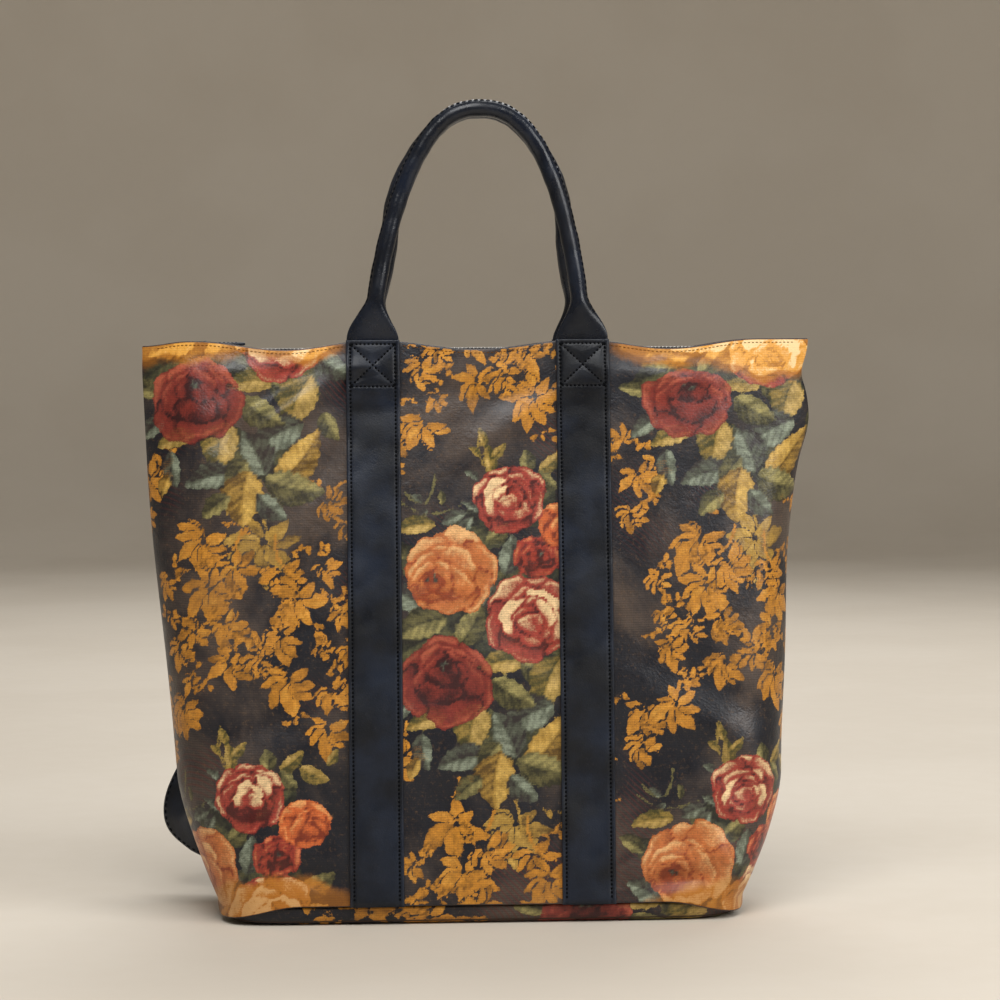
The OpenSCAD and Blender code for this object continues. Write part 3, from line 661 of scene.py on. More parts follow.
class Print:
    """Painted layers of the print on a set of points of the flat leather."""

    def __init__(self, across, up):
        self.across = across / MM
        self.height = up / MM
        self.up = self.height
        count = len(across)
        self.edge = {layer: np.full(count, FAR_OUT) for layer in LAYERS}
        self.tone = {layer: np.zeros(count) for layer in LAYERS}
        self.colours = {layer: np.zeros((3, count, 3)) for layer in LAYERS}

    def near(self, x, y, reach):
        """The points round a place, with their distances across and up from it."""
        close = (np.abs(self.across - x) < reach) & (np.abs(self.up - y) < reach)
        at = np.nonzero(close)[0]
        return at, self.across[at] - x, self.up[at] - y

    def stamp(self, layer, at, depth, tone, palette, shade=0.22, gap=0.0):
        """Paints where the depth inside a shape is positive, with a shadow or a bare gap just round it."""
        edge = self.edge[layer]
        under = (depth > -SHADOW_W) & (depth <= 0) & (edge[at] > 0)
        self.tone[layer][at[under]] -= shade * (1 + depth[under] / SHADOW_W)
        if gap:
            beside = (depth > -gap) & (depth <= 0)
            edge[at[beside]] = np.minimum(edge[at[beside]], np.abs(depth[beside] + gap / 2) - gap / 2)
        take = (depth > 0) | (depth > edge[at])
        self.tone[layer][at[take]] = tone[take]
        for k in range(3):
            self.colours[layer][k][at[take]] = palette[k]
        edge[at] = np.maximum(edge[at], depth)

    def leaf(self, x, y, length, width, direction, palette, layer="leaf", base=0.55):
        """A pointed leaf with a toothed edge, blotched in two tones, and veined if it is large."""
        at, dx, dy = self.near(x, y, length * 0.66)
        if not len(at):
            return
        c, s = math.cos(math.radians(direction)), math.sin(math.radians(direction))
        along = (dx * c + dy * s) / (length / 2)
        aside = dy * c - dx * s + 0.07 * length * (1 - along * along)
        bulge = np.maximum(1 - along * along, 0) ** 0.78 * (1 - 0.30 * along)
        teeth = 0.06 * width * np.abs(np.sin(along * length * 0.26 + x)) * (length > 8)
        depth = np.where(np.abs(along) < 1, width / 2 * bulge - np.abs(aside) - teeth, FAR_OUT)
        mottle = np.sin(dx * 0.31 + y) * np.sin(dy * 0.27 - x) + 0.6 * np.sin(dx * 0.13 - dy * 0.55 + x)
        if layer == "leaf":
            slope = along * length * 0.5 - np.abs(aside) * 0.9
            tone = 0.50 + 0.24 * np.tanh(aside * 1.1) + 0.12 * mottle + 0.09 * np.sin(slope * 1.05)
            tone = tone - 0.34 * bell(aside / 0.8) * clamp(1.1 - along)
        else:
            tone = base + 0.10 * mottle - 0.16 * bell(aside / 0.7) * (length > 13)
        gap = 1.6 if layer == "gold" and length > 8 else 0.0
        self.stamp(layer, at, depth, tone - 0.18 * bell(depth / 0.8), palette, gap=gap)

    def stem(self, x0, y0, x1, y1, bend, palette, layer):
        """A thin line that bends once between its ends."""
        middle = np.array([(x0 + x1) / 2 - bend * (y1 - y0) / 12, (y0 + y1) / 2 + bend * (x1 - x0) / 12])
        at = self.near((x0 + x1) / 2, (y0 + y1) / 2, STEM_REACH)[0]
        if not len(at):
            return
        place = np.stack([self.across[at], self.up[at]], -1)
        gap = np.full(len(at), np.inf)
        for t in np.linspace(0, 1, STEM_STEPS):
            p = (1 - t) ** 2 * np.array([x0, y0]) + 2 * t * (1 - t) * middle + t * t * np.array([x1, y1])
            gap = np.minimum(gap, np.hypot(*(place - p).T))
        self.stamp(layer, at, STEM_HALF - gap, np.full(len(at), 0.5), palette, shade=0.1)

    def spray(self, x, y, radius, direction, palette, rng):
        """A fan of pointed gold leaflets with a curling sprig of small ones behind it."""
        count = int(rng.integers(6, 10))
        spread = rng.uniform(210, 290)
        for k in range(count):
            share = k / (count - 1) - 0.5
            tip = direction + spread * share + rng.uniform(-12, 12)
            reach = radius * mix(0.92, 0.58, abs(share) * 2) * rng.uniform(0.80, 1.15)
            wide = reach * rng.uniform(0.38, 0.56)
            mx, my = moved(x, y, tip, reach * 0.55)
            self.leaf(mx, my, reach, wide, tip, palette, "gold", rng.uniform(0.34, 0.74))
        a = direction + 180 + rng.uniform(-60, 60)
        curl = rng.choice((-1, 1)) * rng.uniform(12, 30)
        for k in range(5):
            x, y = moved(x, y, a, radius * 0.24)
            a = a + curl
            small = rng.uniform(4.0, 7.5)
            tip = a + (70 if k % 2 else -70)
            mx, my = moved(x, y, tip, small * 0.4)
            if k > 1:
                self.leaf(x, y, radius * 0.34, 1.7, a, palette, "gold", 0.5)
                self.leaf(mx, my, small, small * 0.5, tip, palette, "gold", rng.uniform(0.4, 0.7))

    def petal(self, x, y, wide, tall, lip, base, palette):
        """A petal, light along its lip and dark where it goes under the next one."""
        at, dx, dy = self.near(x, y, max(wide, tall) * 1.25)
        if not len(at):
            return
        c, s = math.cos(lip), math.sin(lip)
        out = (dx * c + dy * s) / tall
        aside = (dy * c - dx * s) / wide
        turn = np.arctan2(aside, out)
        ruffle = 0.08 * np.sin(3 * turn + x) + 0.05 * np.sin(7 * turn + y)
        depth = (1 - np.hypot(aside, out) - ruffle) * min(wide, tall)
        folds = np.sin(aside * 5.0 + 1.3 * np.sin(out * 3 + y) + x)
        tone = base + 0.20 * out - 0.06 * aside ** 2 + 0.10 * folds * clamp(0.9 - out)
        tone = tone + 0.16 * bell((depth - 1.8) / 1.3) * clamp(out * 1.5 + 0.2)
        self.stamp("rose", at, depth, tone - 0.34 * bell(depth / 0.8), palette, shade=0.20)

    def rose(self, x, y, radius, flat, heart, name, tone, rng):
        """A loose rose: broad petals outside, then cups of smaller ones round a heart off its middle."""
        palette = palette_of(ROSE_COLOURS[name])
        for level, (count, off, wide, tall, pull) in enumerate(PETAL_RINGS):
            cx, cy = x + heart[0] * radius * pull, y + heart[1] * radius * flat * pull
            turn = rng.uniform(0, 2 * math.pi)
            angles = [turn + 2 * math.pi * (k + rng.uniform(-0.22, 0.22)) / count for k in range(count)]
            for a in sorted(angles, key=lambda angle: -math.sin(angle)):
                far = radius * off * rng.uniform(0.90, 1.12)
                grow = radius * rng.uniform(0.90, 1.16)
                rising = math.sin(a) if level == 0 else abs(math.sin(a)) + 0.5
                light = tone + 0.13 * math.sin(a) + rng.uniform(-0.11, 0.11) - 0.05 * level
                if name == "cream" and level and rng.random() < 0.6:
                    light += 0.46
                px, py = cx + far * math.cos(a), cy + far * math.sin(a) * flat
                lip = math.atan2(rising, math.cos(a))
                self.petal(px, py, wide * grow, tall * grow * flat, lip, light, palette)
        hx, hy = x + heart[0] * radius, y + heart[1] * radius * flat
        at, dx, dy = self.near(hx, hy, radius * 0.45)
        dark = 0.55 if name in ("crimson", "peach", "red") else 0.25
        self.tone["rose"][at] -= dark * bell(np.hypot(dx, dy * 1.6) / (radius * 0.17))
        if dark > 0.5:
            grey = palette_of(LEAF_COLOURS["grey"])
            for k in range(5):
                sx, sy = hx + rng.uniform(-0.11, 0.11) * radius, hy + rng.uniform(-0.05, 0.05) * radius
                self.leaf(sx, sy, 0.11 * radius, 0.07 * radius, rng.uniform(40, 140), grey, "rose", 0.45)

    def bouquet(self, x, y, rng):
        """One bouquet, from the gold under it to the roses on top."""
        palettes = {name: palette_of(codes) for name, codes in LEAF_COLOURS.items()}
        for dx, dy, radius, direction, name in SPRAYS:
            self.spray(x + dx, y + dy, radius, direction, palettes[name], rng)
        for x0, y0, x1, y1, bend, name in STEMS:
            layer = "gold" if name == "gold" else "leaf"
            self.stem(x + x0, y + y0, x + x1, y + y1, bend, palettes[name], layer)
        for dx, dy, length, width, direction, name in LEAVES:
            self.leaf(x + dx, y + dy, length, width, direction, palettes[name])
        for dx, dy, radius, flat, heart, name, tone in ROSES:
            self.rose(x + dx, y + dy, radius, flat, heart, name, tone, rng)

    def repeat(self, x, y, seed):
        """Lays the bouquets in rows, every second row moved by half, and lower ones on top."""
        low_x, high_x = self.across.min() - BOUQUET_ASIDE, self.across.max() + BOUQUET_ASIDE
        low_y, high_y = self.up.min() - BOUQUET_ABOVE, self.up.max() + BOUQUET_BELOW
        for row in range(REPEATS, -REPEATS - 1, -1):
            for col in range(-REPEATS, REPEATS + 1):
                bx = x + (2 * col + row % 2) * REPEAT_ACROSS
                by = y + row * REPEAT_UP
                if row < 0:
                    bx, by = bx + LOW_ROWS_SHIFT[0], by + LOW_ROWS_SHIFT[1]
                if low_x < bx < high_x and low_y < by < high_y:
                    self.bouquet(bx, by, np.random.default_rng(seed + 31 * (row + 9) + col))

    def shares(self):
        """Places across and up as shares of the panel's half width and height."""
        return self.across * MM / (MOUTH_W / 2), rise(self.height * MM)

    def gather(self):
        """Lowers the print at the right end of the rim, where slack takes up some of the leather."""
        a, u = self.shares()
        self.up = self.height + GATHERED * ease((u - 0.88) / 0.12) * ease((a - 0.25) / 0.35)

    def ochre(self):
        """Share of the warm ochre stain along the rim, past the straps, and in the lower corners."""
        a, u = self.shares()
        ragged = 0.005 * np.sin(a * 23 + 1) + 0.004 * np.sin(a * 51 + 2)
        left = 0.026 + 0.016 * bell((a + 0.97) / 0.14) + 0.010 * bell((a + 0.52) / 0.10)
        right = 0.040 + 0.032 * bell((a - 0.93) / 0.22)
        deep = np.where(a < 0, left, right) + ragged
        top = 1.3 * ease((u - 1 + deep) / 0.040 + 0.5) * ease((np.abs(a) - 0.37) / 0.07)
        low = 0.062 * bell((a + 0.60) / 0.30) + 0.050 * bell((a - 0.72) / 0.18) + ragged
        bottom = 0.92 * ease((low - u) / 0.030 + 0.3) * ease((np.abs(a) - 0.36) / 0.04)
        return np.maximum(top, bottom)

    def give(self, piece, stained=True):
        """Stores the layers on the piece; the painted points are its first ones."""
        count, painted = len(piece.data.vertices), len(self.across)

        def store(name, values, bare=0.0):
            whole = np.full((count, *values.shape[1:]), bare)
            whole[:painted] = values
            set_field(piece, name, whole)

        store("ochre", self.ochre() if stained else np.zeros(painted))
        for layer in LAYERS:
            store(layer + "_edge", self.edge[layer] * MM, FAR_OUT * MM)
            store(layer + "_tone", self.tone[layer])
            for shade, colour in zip(SHADES, self.colours[layer]):
                store(layer + "_" + shade, colour)


# Printed panels


def lip_height(s):
    """Height of a panel's lower edge, which hangs lowest at the corners."""
    side = depth_share(s, SEAM_Z)
    hang = ease((np.abs(s) - LIP_FROM) / (1 - LIP_FROM)) * ease(side / LIP_SIDE)
    return SEAM_Z + SEAM_GAP - LIP_DROP * hang


def run_length(x, y):
    """Length of a line up to each of its points."""
    return np.concatenate([[0], np.cumsum(np.hypot(np.diff(x), np.diff(y)))])


def outline_shares(z, count):
    """Shares of the half width that part the wall at a height into equal lengths, and those lengths."""
    length = run_length(WALL_SHARES * half_width(z), half_depth(z) * depth_share(WALL_SHARES, z))
    at = np.linspace(0, length[-1], count)
    return np.interp(at, length, WALL_SHARES), at - length[-1] / 2


def wall_row(share, inset, mirrored):
    """One row of points along the wall, from its lower edge at share 0 to its rim at share 1."""
    s, arc = outline_shares(mix(SEAM_Z, BODY_H, share), PANEL_COLS)
    low = lip_height(s) + LEATHER_T / 2
    z = mix(low, rim_height(s * MOUTH_W / 2) - LEATHER_T / 2, share)
    depth = (half_depth(z) - inset) * depth_share(s, z) + SEAM_GAP / 2
    depth = depth + slack(s * half_width(z), z, mirrored)
    x = s * (half_width(z) - inset) + np.sign(s) * side_wave(s, z) * np.abs(s) ** 6
    return np.stack([x, -depth, z], -1), arc


def edge_roll(outer, inner, upward):
    """Rows that turn round the edge of the leather from its outer face to its inner one."""
    rows = []
    for angle in (36, 72, 108, 144):
        a = math.radians(angle)
        row = mix(inner, outer, 0.5 + 0.5 * math.cos(a))
        row = row + np.array([0, 0, upward * LEATHER_T / 2 * math.sin(a)])
        rows.append(row)
    return rows


def printed_panel(name, mirrored, origin, seed):
    """A panel with soft creases, a rolled rim and the print in fields on its outer face."""
    outer = [wall_row(k / (PANEL_ROWS - 1), 0.0, mirrored) for k in range(PANEL_ROWS)]
    inner = [wall_row(k / (INNER_ROWS - 1), LEATHER_T, mirrored)[0] for k in range(INNER_ROWS)]
    rows = [row for row, arc in outer]
    rows += edge_roll(rows[-1], inner[-1], 1)
    rows += inner[::-1]
    rows += edge_roll(outer[0][0], inner[0], -1)[::-1]
    points = np.array(rows)
    count, cols = points.shape[:2]
    ends = np.concatenate([points[:, 0], points[:, -1]])
    faces = grid_faces(count, cols, wrap_rows=True)
    first = count * cols
    faces.append([first + j for j in range(count)])
    faces.append([first + count + j for j in range(count)][::-1])
    points = np.concatenate([points.reshape(-1, 3), ends])
    if mirrored:
        points[:, 1] *= -1
        faces = [face[::-1] for face in faces]
    piece = mesh_piece(name + "_leather", points, faces, PRINT)
    inside = np.zeros(len(points))
    inside[(PANEL_ROWS + 2) * cols:(PANEL_ROWS + 4 + INNER_ROWS) * cols] = 1
    set_field(piece, "inside", inside)
    across = np.concatenate([arc for row, arc in outer]) * (-1 if mirrored else 1)
    up = np.concatenate([row[:, 2] for row, arc in outer])
    paint = Print(across, up)
    paint.gather()
    paint.repeat(*origin, seed)
    paint.give(piece)
    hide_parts(name)


printed_panel("front_panel", mirrored=False, origin=(-23, 157), seed=11)
printed_panel("back_panel", mirrored=True, origin=(58, 121), seed=47)


def base_tray():
    """The base with rolled edges, its print unfolded from the front wall over the floor to the back."""
    half_y = (BASE_HIGH.y - BASE_LOW.y) / 2

    def loop(inset):
        """Points round the outline of the body at the seam, moved in."""
        x = (BASE_W / 2 - BASE_INSET - inset) * WALL_SHARES
        y = -(BASE_D / 2 - BASE_INSET - inset) * depth_share(WALL_SHARES, SEAM_Z)
        length = run_length(x, y)
        at = np.linspace(0, length[-1], BASE_COLS + 1)[:-1]
        front = np.stack([np.interp(at, length, x), np.interp(at, length, y)], -1)
        return np.concatenate([front, -front])

    shoulder = SEAM_Z - 0.6 * MM
    inner = [(loop(LEATHER_T), z) for z in np.linspace(LEATHER_T, shoulder, 5)]
    rings = inner + [(loop(LEATHER_T * 0.5), SEAM_Z)]
    rings += [(loop(0), z) for z in np.linspace(shoulder, BASE_ROLL_R, 4)]
    for angle in np.linspace(12, 90, 8):
        a = math.radians(angle)
        rings.append((loop(BASE_ROLL_R * (1 - math.cos(a))), BASE_ROLL_R * (1 - math.sin(a))))
    floor = loop(BASE_ROLL_R)
    rings += [(floor * share, 0.0) for share in np.linspace(0.96, 0.03, 30)]
    points = np.array([np.column_stack([ring, np.full(len(ring), z)]) for ring, z in rings])
    count, sides = points.shape[:2]
    faces = [face[::-1] for face in grid_faces(count, sides, wrap_cols=True) + cap_faces(count, sides)]
    points = points.reshape(-1, 3)
    piece = mesh_piece("base_leather", points, faces, PRINT)
    inside = np.zeros(len(points))
    inside[:len(inner) * sides] = 1
    set_field(piece, "inside", inside)
    fold = points[:, 1] / half_y
    paint = Print(points[:, 0], -(points[:, 1] + half_y) - points[:, 2] * fold)
    paint.repeat(x=66, y=3, seed=83)
    paint.give(piece, stained=False)
    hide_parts("base_panel")


base_tray()

# Sewn straps and rolled handles


def flat_section(width, thick, across, groove, groove_at):
    """Points round a flat strap's section with rounded edges: place across and height, 0 at the back."""
    r = thick / 2
    section = []
    for side in (1, -1):
        u = np.linspace(-1, 1, across) * (width / 2 - r)
        dent = groove * bell((np.abs(u) - (width / 2 - groove_at)) / (1.0 * MM))
        h = (thick - dent) if side > 0 else np.zeros(across)
        section += list(zip(side * u, h))
        for angle in (45, 90, 135):
            a = math.radians(angle)
            section.append((side * (width / 2 - r + r * math.sin(a)), r + side * r * math.cos(a)))
    return np.array(section)


def strap_lift(z):
    ramp = TONGUE_L / 2
    return SEW_GAP + (TONGUE_T + SEW_GAP) * ease((z - BODY_H + TONGUE_L + ramp) / ramp)


def strap_surface(x, z, out, mirrored):
    """A point above the panel at a height over the underside of a sewn strap."""
    y = skin_depth(x, z, mirrored) + strap_lift(z) + out
    return np.stack([x, y if mirrored else -y, z], -1)


def box_puff(u, z, edge, low, high):
    """Swell of the leather between the lines of the crossed box of stitches."""
    v = (z - low) / (high - low) * 2 - 1
    tilt = 1 / math.hypot(1 / edge, 2 / (high - low))
    cross = np.minimum(np.abs(u / edge - v), np.abs(u / edge + v)) * tilt
    border = np.minimum(edge - np.abs(u), np.minimum(z - low, high - z))
    gap = np.minimum(cross, border)
    swell = 0.4 * MM * ease(gap / (6 * MM)) - 0.35 * MM * bell(gap / (0.8 * MM))
    return np.where(border > -1 * MM, swell, 0)


def sewn_strap(name, x0, mirrored):
    """A flat strap up the panel, with rows of stitches and a crossed box of them over the handle's end."""
    section = flat_section(STRAP_W, STRAP_T, 37, 0.55 * MM, STRAP_STITCH_IN)
    face = section[:, 1] > STRAP_T * 0.7
    top = float(rim_height(np.array(x0)))
    edge = STRAP_W / 2 - STRAP_STITCH_IN
    high, low = top - 2.5 * MM, top - TONGUE_L
    plain = np.linspace(SEAM_Z + SEAM_GAP, low - 3 * MM, 90)
    heights = np.concatenate([plain, np.linspace(low - 2 * MM, top, 44)])
    rings = []
    for z in heights:
        out = section[:, 1] + np.where(face, box_puff(section[:, 0], z, edge, low, high), 0)
        x = x0 + section[:, 0]
        rings.append(strap_surface(x, np.full(len(x), z), out, mirrored))
    rings = np.array(rings)
    if mirrored:
        rings = rings[:, ::-1]
    piece = sweep(name + "_leather", rings, NAVY)
    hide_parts(name)
    out = STRAP_T - STRAP_STITCH_SINK
    facing = np.array([0, 1 if mirrored else -1, 0])
    span = np.linspace(-1, 1, 40)
    lines = [(x0 + side * edge + 0 * heights[1:-2], heights[1:-2]) for side in (-1, 1)]
    lines += [(x0 + span * edge, 0 * span + z) for z in (low, high)]
    lines += [(x0 + side * span * edge, mix(low, high, (span + 1) / 2)) for side in (-1, 1)]
    rows = [(strap_surface(x, z, out, mirrored), facing) for x, z in lines]
    stitches(name + "_stitches", rows, NAVY_THREAD, STRAP_STITCH)


for side, place in (("left", -STRAP_X), ("right", STRAP_X)):
    sewn_strap("front_strap_" + side, place, mirrored=False)
    sewn_strap("back_strap_" + side, place, mirrored=True)


def arch_point(a, sway):
    """Middle of a front handle along its arch, from 0 at the left foot to pi at the right foot."""
    up = HANDLE_H * max(math.sin(a), 0) ** (2 / ARCH_UP)
    share = float(ease(up / HANDLE_H))
    across = STRAP_X * abs(math.cos(a)) ** (2 / ARCH_ACROSS) - sway * math.sin(2 * math.pi * share)
    foot_share = depth_share(np.array(STRAP_X / (MOUTH_W / 2)), BODY_H)
    foot = MOUTH_D / 2 * float(foot_share) + SEAM_GAP / 2 + SEW_GAP + TONGUE_T / 2
    x = math.copysign(across, a - math.pi / 2) + HANDLE_LEAN * share
    return np.array([x, -mix(foot, HANDLE_PITCH / 2, share), BODY_H + up])


def tongue_width(z):
    """Width of a handle's flat end, which fills the strap where it leaves it."""
    return mix(TONGUE_W, TONGUE_SHOWN_W, ease((z - BODY_H + TONGUE_L / 2) / (TONGUE_L / 2)))


def tongue_ring(z, side, around, mirrored):
    """Section of a handle's flat end on its left or right foot."""
    x = side * (STRAP_X - tongue_width(z) / 2 * np.cos(around))
    y = -float(skin_depth(np.array(STRAP_X), z, mirrored)) - SEW_GAP - TONGUE_T / 2
    return np.stack([x, y + TONGUE_T / 2 * np.sin(around), np.full(len(around), z)], -1)


def rolled_handle(name, mirrored):
    """A handle of rolled leather: flat ends that flare into an uneven tube with a welt and its stitches."""
    sides, steps = 32, 200
    sway = HANDLE_SWAY if mirrored else 0
    around = np.linspace(0, 2 * math.pi, sides, endpoint=False)
    tongue = np.linspace(BODY_H - TONGUE_L, BODY_H, 8)[:-1]
    rings = [tongue_ring(z, -1, around, mirrored) for z in tongue]
    seam, seam_out = [], []
    for k, a in enumerate(np.linspace(0, math.pi, steps + 1)):
        p = arch_point(a, sway)
        ahead = arch_point(min(a + 0.01, math.pi), sway)
        behind = arch_point(max(a - 0.01, 0), sway)
        along = unit(ahead - behind)
        if k in (0, steps):
            along = np.array([0, 0, 1 if k == 0 else -1])
        across = unit(np.cross([0, 1, 0], along))
        up = p[2] - BODY_H
        rolled = float(ease(up / FLARE_L))
        w = mix(TONGUE_SHOWN_W, HANDLE_DIA, rolled) / 2
        h = mix(TONGUE_T, HANDLE_DIA, rolled) / 2
        bumps = 1 + 0.018 * rolled * math.sin(37 * a) + 0.012 * rolled * math.sin(61 * a + 1)
        welt = 1 + 0.10 * rolled * bell((np.cos(around) + 1) / 0.035)
        fold = 1 + 0.25 * rolled * (1 - rolled) * np.cos(2 * around)
        ring = p + np.outer(w * bumps * welt * np.cos(around), across)
        ring = ring + np.outer(h * bumps * fold * np.sin(around), [0, 1, 0])
        rings.append(ring)
        if rolled > 0.6:
            seam.append(p - across * w * bumps * 1.02 + np.array([0, -h * 0.30, 0]))
            seam_out.append(-across + np.array([0, -0.3, 0]))
    rings += [tongue_ring(z, 1, around, mirrored) for z in tongue[::-1]]
    rings = np.array(rings)
    seam, seam_out = np.array(seam), unit(np.array(seam_out))
    if mirrored:
        back = np.array([1, -1, 1])
        rings = rings[:, ::-1] * back
        seam, seam_out = seam * back, seam_out * back
    piece = sweep(name + "_leather", rings, NAVY_HANDLE)
    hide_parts(name)
    stitches(name + "_stitches", [(seam, seam_out)], NAVY_THREAD, HANDLE_STITCH)


rolled_handle("front_handle", mirrored=False)
rolled_handle("back_handle", mirrored=True)

# Zip


def rounded_block(centre, size, bevel):
    """Points and faces of a small block with softened edges."""
    points = []
    hx, hy, hz = (s / 2 for s in size)
    levels = ((-hz, bevel), (-hz + bevel, 0), (hz - bevel, 0), (hz, bevel))
    for z, inset in levels:
        x, y = hx - inset, hy - inset
        right = ((x - bevel, -y), (x, bevel - y), (x, y - bevel), (x - bevel, y))
        plan = right + tuple((-px, -py) for px, py in right)
        points += [(centre[0] + px, centre[1] + py, centre[2] + z) for px, py in plan]
    faces = grid_faces(len(levels), len(plan), wrap_cols=True) + cap_faces(len(levels), len(plan))
    return points, faces


def zip_teeth(name, side, shift):
    """A row of separate metal teeth, gripped round the corded edge of the tape."""
    near = ZIP_LANE / 2
    low, high = TEETH_LOW.x, TEETH_HIGH.x
    z = (TEETH_LOW.z + TEETH_HIGH.z) / 2
    tall = TEETH_HIGH.z - TEETH_LOW.z
    far = abs(TEETH_LOW.y)
    points, faces = [], []
    for k in range(int((high - low) / ZIP_PITCH)):
        x = low + ZIP_PITCH * (k + shift)
        # Shank and head of a tooth: middle, size and bevel
        blocks = (
            ((x, side * mix(near, far, 0.62), z), (1.15 * MM, 0.76 * (far - near), tall), 0.22 * MM),
            ((x, side * (near + 0.55 * MM), z), (1.45 * MM, 1.1 * MM, tall * 0.72), 0.25 * MM),
        )
        for block in blocks:
            add_part(points, faces, rounded_block(*block))
    teeth = mesh_piece(name + "_metal", points, faces, ZIP_METAL)
    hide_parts(name)
    around = np.linspace(0, 2 * math.pi, 10, endpoint=False)
    y = side * (far - 0.75 * MM) + 0.7 * MM * np.cos(around)
    cord = [np.stack([np.full(len(y), x), y, z + 0.8 * MM * np.sin(around)], -1) for x in (low, high)]
    edge = sweep(name + "_cord", np.array(cord), TAPE)


zip_teeth("zip_teeth_front", side=-1, shift=0.35)
zip_teeth("zip_teeth_back", side=1, shift=0.85)


def zip_pull():
    """A leather tab folded round the wire link, with a rounded end and a row of stitches."""
    width = PULL_HIGH.y - PULL_LOW.y
    tall = PULL_HIGH.z - PULL_LOW.z
    z = (PULL_LOW.z + PULL_HIGH.z) / 2
    x0 = PULL_LOW.x + tall / 2
    bore = tall / 2 - 1.2 * MM
    sides = 16
    rings = []
    round_l = width / 2
    last = PULL_HIGH.x
    places = np.concatenate([np.linspace(x0 + bore + 0.3 * MM, last - round_l, 14),
                             last - round_l + round_l * np.sin(np.linspace(0.12, 1.55, 9))])
    for x in places:
        over = clamp((x - last + round_l) / round_l)
        w = width / 2 * math.sqrt(max(1 - over * over, 0.0004))
        h = PULL_T / 2 * (1 - 0.35 * over ** 4)
        ring = []
        for m in range(sides):
            a = 2 * math.pi * m / sides
            c, s = math.cos(a), math.sin(a)
            y = w * math.copysign(abs(c) ** 0.35, c)
            ring.append((x, y, z + h * math.copysign(abs(s) ** 0.6, s)))
        rings.append(ring)
    points = np.array(rings).reshape(-1, 3)
    faces = grid_faces(len(rings), sides, wrap_cols=True) + cap_faces(len(rings), sides)
    section = ((bore, -1), (tall / 2 - 0.3 * MM, -1), (tall / 2, -0.88), (tall / 2, 0.88),
               (tall / 2 - 0.3 * MM, 1), (bore, 1))
    eye, turns = [], 28
    for k in range(turns):
        a = 2 * math.pi * k / turns
        eye += [(x0 + r * math.cos(a), u * width / 2, z + r * math.sin(a)) for r, u in section]
    loop = grid_faces(turns, len(section), wrap_rows=True, wrap_cols=True, first=len(points))
    piece = mesh_piece("zip_pull_leather", np.concatenate([points, eye]), faces + loop, NAVY, "pull")
    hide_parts("zip_pull")
    run = np.linspace(x0 + tall / 2 + 0.6 * MM, last - 1.6 * MM, 30)[:-4]
    top = np.full(len(run), z + PULL_T / 2 - 0.1 * MM)
    rows = []
    for side in (-1, 1):
        y = np.full(len(run), side * (width / 2 - PULL_STITCH_IN))
        rows.append((np.stack([run, y, top], -1), (0, 0, 1)))
    stitches("zip_pull_stitches", rows, NAVY_THREAD, PULL_STITCH, "pull")


zip_pull()

# Shoulder straps. Their route is given as shares: how far out, how high, how far off the wall, how rolled.

ROUTE_REACH = (0.47, 0.63, 0.8, 0.945, 1, 0.94, 0.74, 0.42, 0.17, 0.04, 0, 0)
ROUTE_RISE = (0, 0, 0, 0.017, 0.057, 0.141, 0.302, 0.51, 0.695, 0.842, 0.894, 1)
ROUTE_STAND = (0, 0.01, 0.1, 0.28, 0.46, 0.7, 0.95, 1, 0.82, 0.2, 0, 0)
ROUTE_ROLL = (0, 0, 0.08, 0.35, 0.55, 0.5, 0.35, 0.2, 0.1, 0, 0, 0)
ROUTE_LAST = len(ROUTE_REACH) - 1
ROUTE_STEPS = 14
UPPER_END_X = 30 * MM
UPPER_END_Z = BODY_H - 52 * MM
LOWER_END_Z = 38 * MM
STAND_OFF = 46 * MM
LEFT_REACH = HIP_W / 2 + 21 * MM - SHOULDER_W / 2
RIGHT_REACH = HIP_W / 2 - 19 * MM - SHOULDER_W / 2
PATCH_LOW, PATCH_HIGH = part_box("strap_patch")


def through(values, t):
    """A smooth value through a list, at a place counted in its steps."""
    k = min(int(t), ROUTE_LAST - 1)
    f = t - k
    p0, p1 = values[max(k - 1, 0)], values[k]
    p2, p3 = values[k + 1], values[min(k + 2, ROUTE_LAST)]
    bend = (2 * p0 - 5 * p1 + 4 * p2 - p3) / 2 + f * (3 * p1 - p0 - 3 * p2 + p3) / 2
    return p1 + f * ((p2 - p0) / 2 + f * bend)


def route_point(reach, t):
    """Middle of a shoulder strap on the right-hand side."""
    z = mix(LOWER_END_Z, UPPER_END_Z, through(ROUTE_RISE, t))
    off = max(STAND_OFF * through(ROUTE_STAND, t), 0)
    y = float(half_depth(z)) + SEAM_GAP / 2 + SEW_GAP + SHOULDER_T / 2 + off
    return np.array([mix(UPPER_END_X, reach, through(ROUTE_REACH, t)), y, z])


def route_frame(reach, t):
    """Directions across the strap's width and through its thickness."""
    step = 1 / 16
    along = unit(route_point(reach, min(t + step, ROUTE_LAST)) - route_point(reach, max(t - step, 0)))
    z = route_point(reach, t)[2]
    lean = float(half_depth(z + SHOULDER_W / 2) - half_depth(z - SHOULDER_W / 2)) / SHOULDER_W
    flat = unit(np.cross([0, 1, -lean], along))
    roll = math.pi / 2 * through(ROUTE_ROLL, t)
    across = flat * math.cos(roll) + np.cross(along, flat) * math.sin(roll)
    return across, np.cross(along, across)


